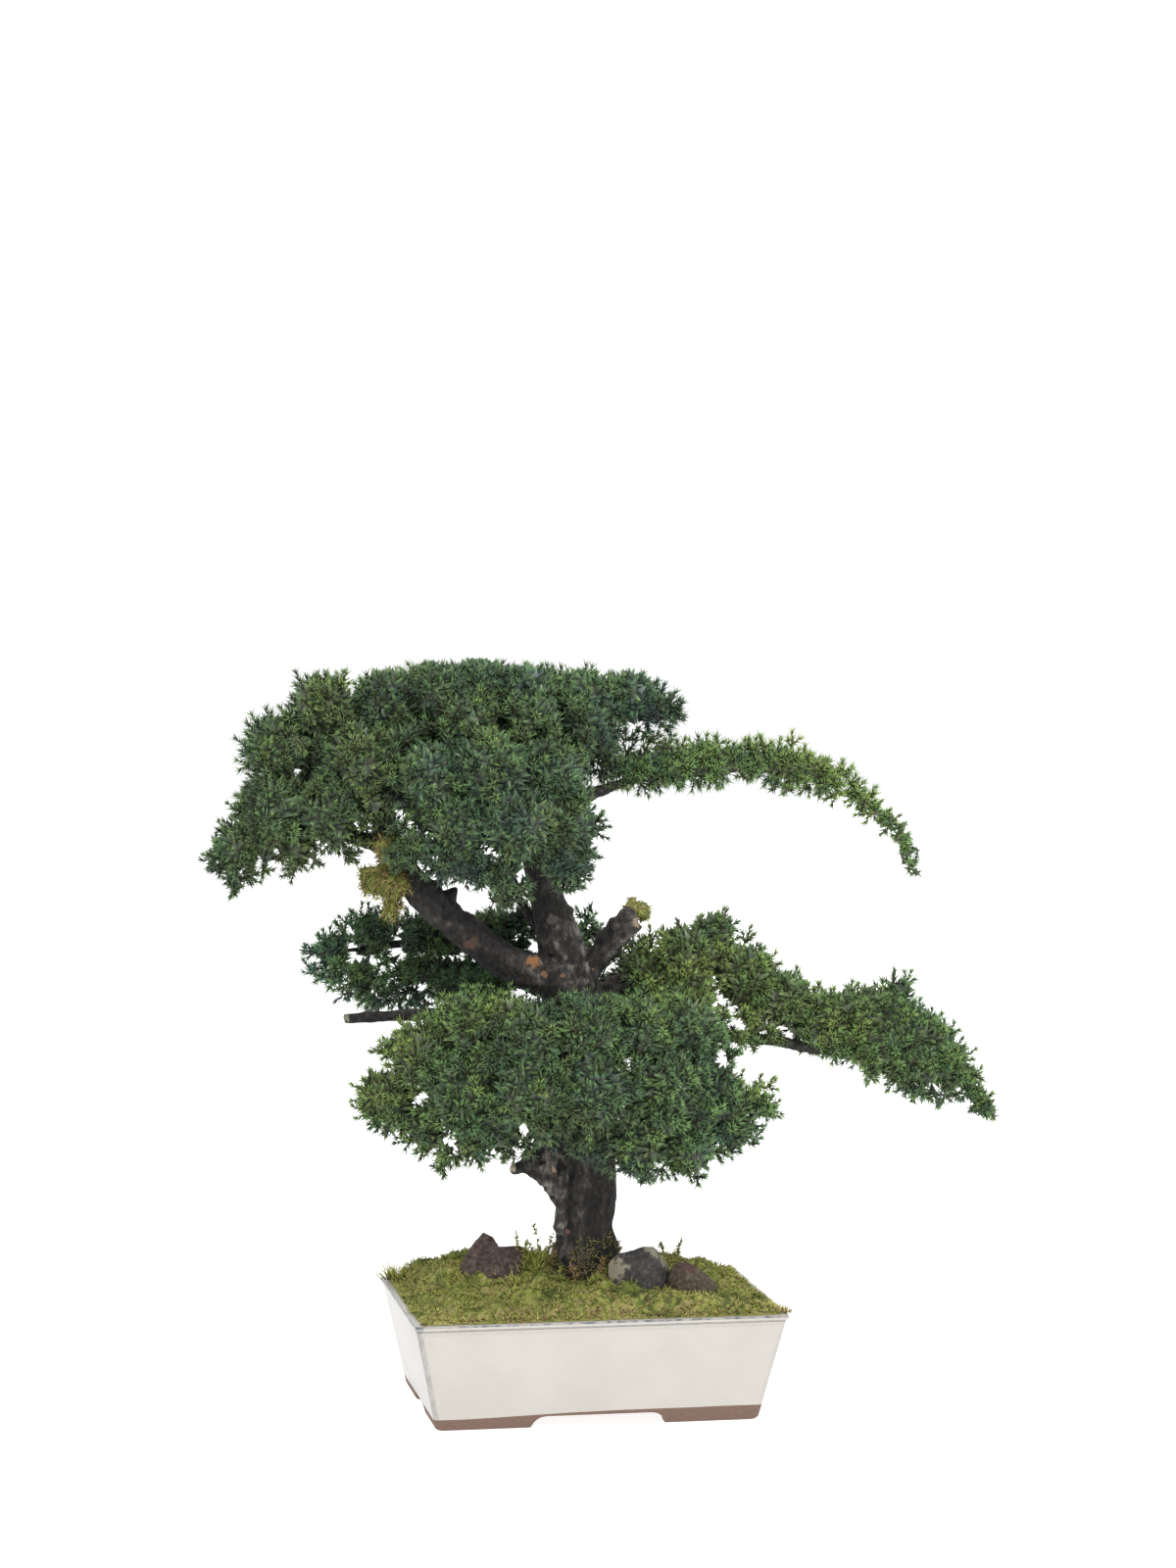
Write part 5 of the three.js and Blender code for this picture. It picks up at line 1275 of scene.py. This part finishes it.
def make_rock(node, slot, tones, patches, stretch, seed):
    """A CAD rock with rough faces, in three tones with patches over them."""
    shader = Shader(node, 0.85, 0.25)
    fine = shader.noise(260, 6, None, 0.7)
    colour = shader.ramp(fine, *zip((0.35, 0.52, 0.68), [srgb(*tone) for tone in tones]))
    shade = shader.ramp(shader.noise(45, 3), (0.35, 0.7), (0.6, 1.0))
    shader.colour(shader.mix(1.0, shader.patched(colour, patches), shade, "MULTIPLY"))
    shader.bump(fine, 0.001)
    piece = copied(node, node + "_stone", shader.material)
    modified(piece, "WELD", merge_threshold=0.05 * MM)
    modified(piece, "SUBSURF", subdivision_type="SIMPLE", levels=3, render_levels=3)
    points = places_of(piece)
    relief = sum(height * noise(points, width, seed + k) for k, (height, width) in enumerate(ROCK_RELIEF))
    middle = points.mean(axis=0)
    wider = (points - middle) * [stretch, 1, 1] + middle
    move_points(piece, placed(wider + normals_of(piece) * relief[:, None]))
    shade_smooth(piece, 28)
    stands_for(piece, slot, node)


make_rock("rock_left", "rock_red", [(60, 48, 46), (90, 76, 71), (124, 108, 100)], [], 1.1, 31)
make_rock("rock_grey", "rock_grey", [(50, 48, 48), (70, 68, 66), (94, 90, 86)],
          [([22, -36, 118], 13, (142, 136, 118)), ([64, -26, 122], 9, (128, 124, 106)),
           ([53, -31, 132], 9, (134, 130, 112))], 1.1, 41)
make_rock("rock_small", "rock_brown", [(62, 54, 46), (88, 78, 66), (118, 108, 92)],
          [([80, -42, 119], 9, (84, 64, 60))], 1.14, 51)


# Pot

POT_HALF = [154.5, 99]
POT_HEIGHT = 90
WALL = 9
WALL_SLOPE = 0.19
END_SLOPE = 0.22
BAND_HEIGHT = 4
BAND_PROUD = 1.2
FOOT_HEIGHT = 10
FOOT_WALL = 13
FLOOR_TOP = 20
CORNER = 4
ARCHES = [112, 56]  # openings between the feet, at the front and at the ends
ARCH_CURVE = 13
DRAINS = [-62, 62]
DRAIN_RADIUS = 12
# Dark lines in the glaze below the rim: height, half width and strength. The last, faint one is painted shade
# below the band's groove
RIM_LINES = [(89.1, 0.75, 1), (86.1, 0.5, 0.55), (82.5, 1.2, 0.12)]
WALL_DEPTH = 1.6  # glaze no deeper than this inside the outer walls is on them
EDGE_WEAR = 4.2  # reach of the dark wear at the corners
LINE_WAVE = 1.6  # how far the glaze's lower edge wanders
LINE_RISE = 3.2  # how much higher it lies in the middle and on the right than at the left end
RISE_START, RISE_WIDTH = 130, 110  # it rises from so far left of the frame's origin, over so much


def rounded_ring(half_x, half_y, radius, z, steps=6):
    ring = []
    for quarter, (sx, sy) in enumerate([(1, 1), (-1, 1), (-1, -1), (1, -1)]):
        for step in range(steps + 1):
            angle = (quarter + step / steps) * math.pi / 2
            ring.append([sx * (half_x - radius) + radius * math.cos(angle),
                         sy * (half_y - radius) + radius * math.sin(angle), z])
    return ring


def pot_ring(z, out, radius=CORNER):
    """Outline of the pot's outside at a height, moved outwards."""
    end, side = (BAND_PROUD + (POT_HEIGHT - z) * slope - out for slope in (END_SLOPE, WALL_SLOPE))
    return rounded_ring(POT_HALF[0] - end, POT_HALF[1] - side, radius, z)


def lofted(name, rings):
    """Closed solid through rings of equal length, with flat ends."""
    count = len(rings[0])
    mesh = bpy.data.meshes.new(name)
    faces = [list(range(count))[::-1]]
    for start in range(0, (len(rings) - 1) * count, count):
        for i in range(count):
            a, b = start + i, start + (i + 1) % count
            faces.append([a, b, b + count, a + count])
    faces.append([(len(rings) - 1) * count + i for i in range(count)])
    mesh.from_pydata([tuple(placed(p)) for ring in rings for p in ring], [], faces)
    return linked(name, mesh)


def cut(piece, cutter):
    modified(piece, "BOOLEAN", operation="DIFFERENCE", object=cutter, solver="EXACT")
    bpy.data.objects.remove(cutter)


def arch_cutter(width, reach, across_x):
    """Opening between two feet: flat above, its ends curving down to the ground."""
    half = width / 2
    outline = [[-half, -1], [half, -1]]
    for step in range(7):
        share = step / 6
        outline.append([half - ARCH_CURVE * share**1.6, FOOT_HEIGHT * math.sin(share * math.pi / 2)])
    outline += [[-u, z] for u, z in outline[:1:-1]]
    rings = [[[depth, u, z] if across_x else [u, -depth, z] for u, z in outline]
             for depth in (-reach, reach)]
    return lofted("arch", rings)


def glaze_material():
    """Cream glaze that breaks dark on the rim and corners, with painted shade on the end walls and below the
    band's groove; bare clay below the glaze line.
    """
    shader = Shader("glaze", 0.28, 0.5)
    x, y, z = shader.split(shader.place())
    cloud = shader.noise(22, 3)
    glaze = shader.ramp(cloud, (0.35, srgb(180, 176, 168)), (0.65, srgb(185, 181, 174)))
    mottle = shader.ramp(shader.noise(160, 4), (0.42, 0.0), (0.6, 1.0))
    centre = placed([0, 0, 0])

    def near(at, width):
        """One where z is within width of at, in mm."""
        away = shader.maths("ABSOLUTE", shader.maths("SUBTRACT", z, at * MM))
        return shader.maths("LESS_THAN", away, width * MM)

    def depth(value, middle, half, slope):
        """How far a coordinate lies inside the sloping outer wall, in metres."""
        away = shader.maths("ABSOLUTE", shader.maths("SUBTRACT", value, middle))
        wall = shader.maths("MULTIPLY_ADD", z, slope, (half - BAND_PROUD - POT_HEIGHT * slope) * MM)
        return shader.maths("SUBTRACT", wall, away)

    in_x = depth(x, centre[0], POT_HALF[0], END_SLOPE)
    in_y = depth(y, centre[1], POT_HALF[1], WALL_SLOPE)
    # Painted shade: the glaze on the end walls is a little darker and bluer
    end_wall = shader.maths("LESS_THAN", in_x, WALL_DEPTH * MM)
    glaze = shader.mix(end_wall, glaze, shader.mix(1.0, glaze, srgb(249, 250, 254), "MULTIPLY"))
    on_wall = shader.maths("LESS_THAN", shader.maths("MINIMUM", in_x, in_y), WALL_DEPTH * MM)
    left = shader.maths("LESS_THAN", x, centre[0])
    edge = shader.maths("LESS_THAN", shader.maths("ADD", in_x, in_y), EDGE_WEAR * MM)
    lines = shader.maths("MULTIPLY", edge, shader.maths("MULTIPLY_ADD", left, 0.3, 0.12))
    for at, width, strength in RIM_LINES:
        lines = shader.maths("MAXIMUM", lines, shader.maths("MULTIPLY", near(at, width), strength))
    lines = shader.maths("MULTIPLY", lines, on_wall)
    dark = shader.maths("MULTIPLY", lines, shader.maths("MULTIPLY_ADD", mottle, 0.6, 0.4))
    glaze = shader.mix(dark, glaze, srgb(88, 93, 98))
    wander = shader.maths("MULTIPLY_ADD", shader.noise(14, 2), LINE_WAVE * MM, (FOOT_HEIGHT - 0.9) * MM)
    lift = shader.maths("DIVIDE", shader.maths("ADD", x, RISE_START * MM), RISE_WIDTH * MM)
    lift = shader.ramp(lift, (0.0, 0.0), (1.0, 1.0))
    wander = shader.maths("MULTIPLY_ADD", lift, LINE_RISE * MM, wander)
    bare = shader.maths("LESS_THAN", z, wander)
    grain = shader.ramp(shader.noise(700, 3), (0.3, srgb(99, 78, 67)), (0.7, srgb(120, 95, 82)))
    shader.colour(shader.mix(bare, glaze, grain))
    shader.put(shader.maths("MULTIPLY_ADD", bare, 0.5, 0.28), shader.surface.inputs["Roughness"])
    return shader.material


def make_pot():
    band = POT_HEIGHT - BAND_HEIGHT
    inner = BAND_PROUD - WALL
    # Heights, and how far the outline stands out of the wall there: up the outside and down the inside
    profile = [
        (0.6, -1.8), (1.4, -0.9), (2.4, -0.3), (3.6, 0), (band - 1.4, 0), (band - 1.1, -0.7),
        (band - 0.3, -0.7), (band, 0.7), (band + 0.5, BAND_PROUD), (POT_HEIGHT - 1.6, BAND_PROUD),
        (POT_HEIGHT - 0.7, BAND_PROUD - 0.35), (POT_HEIGHT - 0.15, BAND_PROUD - 1),
        (POT_HEIGHT, BAND_PROUD - 2), (POT_HEIGHT, inner + 1.6), (POT_HEIGHT - 0.3, inner + 0.7),
        (POT_HEIGHT - 1.2, inner), (FLOOR_TOP + 2, inner), (FLOOR_TOP, inner - 2),
    ]
    pot = lofted("pot_body", [pot_ring(0, -3)] + [pot_ring(z, out) for z, out in profile])
    under = -FOOT_WALL
    cut(pot, lofted("recess", [pot_ring(-1, under), pot_ring(FOOT_HEIGHT, under - 1)]))
    cut(pot, arch_cutter(ARCHES[0], 2 * POT_HALF[1], False))
    cut(pot, arch_cutter(ARCHES[1], 2 * POT_HALF[0], True))
    for x in DRAINS:
        drain = [[[x + DRAIN_RADIUS * math.cos(a), DRAIN_RADIUS * math.sin(a), z]
                  for a in np.arange(40) * math.pi / 20] for z in (-2, FLOOR_TOP + 2)]
        cut(pot, lofted("drain", drain))
    modified(pot, "BEVEL", width=0.6 * MM, segments=2, limit_method="ANGLE", angle_limit=math.radians(40))
    pot.data.materials.clear()
    pot.data.materials.append(glaze_material())
    shade_smooth(pot, 35)
    stands_for(pot, "glaze", "pot")


make_pot()


def refinished(node, slot, dark, pale, scale, roughness):
    """A CAD node whose shape is right, with a finer finish."""
    shader = Shader(node + "_finish", roughness, 0.25)
    grain = shader.noise(scale, 5, None, 0.7)
    shader.colour(shader.ramp(grain, (0.35, srgb(*dark)), (0.65, srgb(*pale))))
    shader.bump(grain, 0.001)
    stands_for(copied(node, node + "_piece", shader.material), slot, node)


refinished("soil", "soil", (46, 36, 30), (92, 76, 62), 260, 0.9)
for screen in ("drain_screen_left", "drain_screen_right"):
    refinished(screen, "screen", (26, 26, 26), (40, 40, 40), 900, 0.6)


# Stage, light and camera

def white_material(name, strength):
    shader = Shader(name, 0.9, 0.1)
    shader.colour((0.6, 0.6, 0.6, 1))
    shader.surface.inputs["Emission Color"].default_value = (1, 1, 1, 1)
    shader.surface.inputs["Emission Strength"].default_value = strength
    return shader.material


FLOOR_HALF = 6
FLOOR_GLOW = 0.85
SKY_GLOW = 1.02

corners = np.array([[-1, -1, 0], [1, -1, 0], [1, 1, 0], [-1, 1, 0]]) * FLOOR_HALF
floor = mesh_object("floor", corners, [[0, 1, 2, 3]], white_material("floor", FLOOR_GLOW))

world = bpy.data.worlds.new("studio")
world.use_nodes = True
sky = world.node_tree.nodes["Background"].inputs
sky["Color"].default_value = (1, 1, 1, 1)
sky["Strength"].default_value = SKY_GLOW
bpy.context.scene.world = world
bpy.context.scene.view_settings.view_transform = "Standard"


def area_light(name, at, towards, size, power):
    light = bpy.data.lights.new(name, "AREA")
    light.shape = "DISK"
    light.size = size
    light.energy = power
    lamp = linked(name, light)
    lamp.location = at
    lamp.rotation_euler = (Vector(towards) - Vector(at)).to_track_quat("-Z", "Y").to_euler()


area_light("key", at=(0.2, -2.2, 2.4), towards=(0, 0, 0.3), size=1.2, power=42)

azimuth, elevation, roll = (math.radians(angle) for angle in (AZIMUTH, ELEVATION, ROLL))
back = np.array([math.sin(azimuth) * math.cos(elevation),
                 -math.cos(azimuth) * math.cos(elevation), math.sin(elevation)])
right = unit(np.cross(-back, UP))
above = np.cross(right, -back)
tilted = right * math.cos(roll) + above * math.sin(roll)
upright = above * math.cos(roll) - right * math.sin(roll)
camera = linked("camera", bpy.data.cameras.new("camera"))
camera.data.sensor_width = SENSOR
camera.data.lens = FOCAL_PIXELS * SENSOR / IMAGE_HEIGHT
camera.data.clip_end = 50
spot = placed(np.array(LOOKS_AT) + back * DISTANCE)
camera.matrix_world = Matrix([[*row, at] for row, at in zip(np.stack([tilted, upright, back], axis=1), spot)]
                             + [[0, 0, 0, 1]])
bpy.context.scene.camera = camera
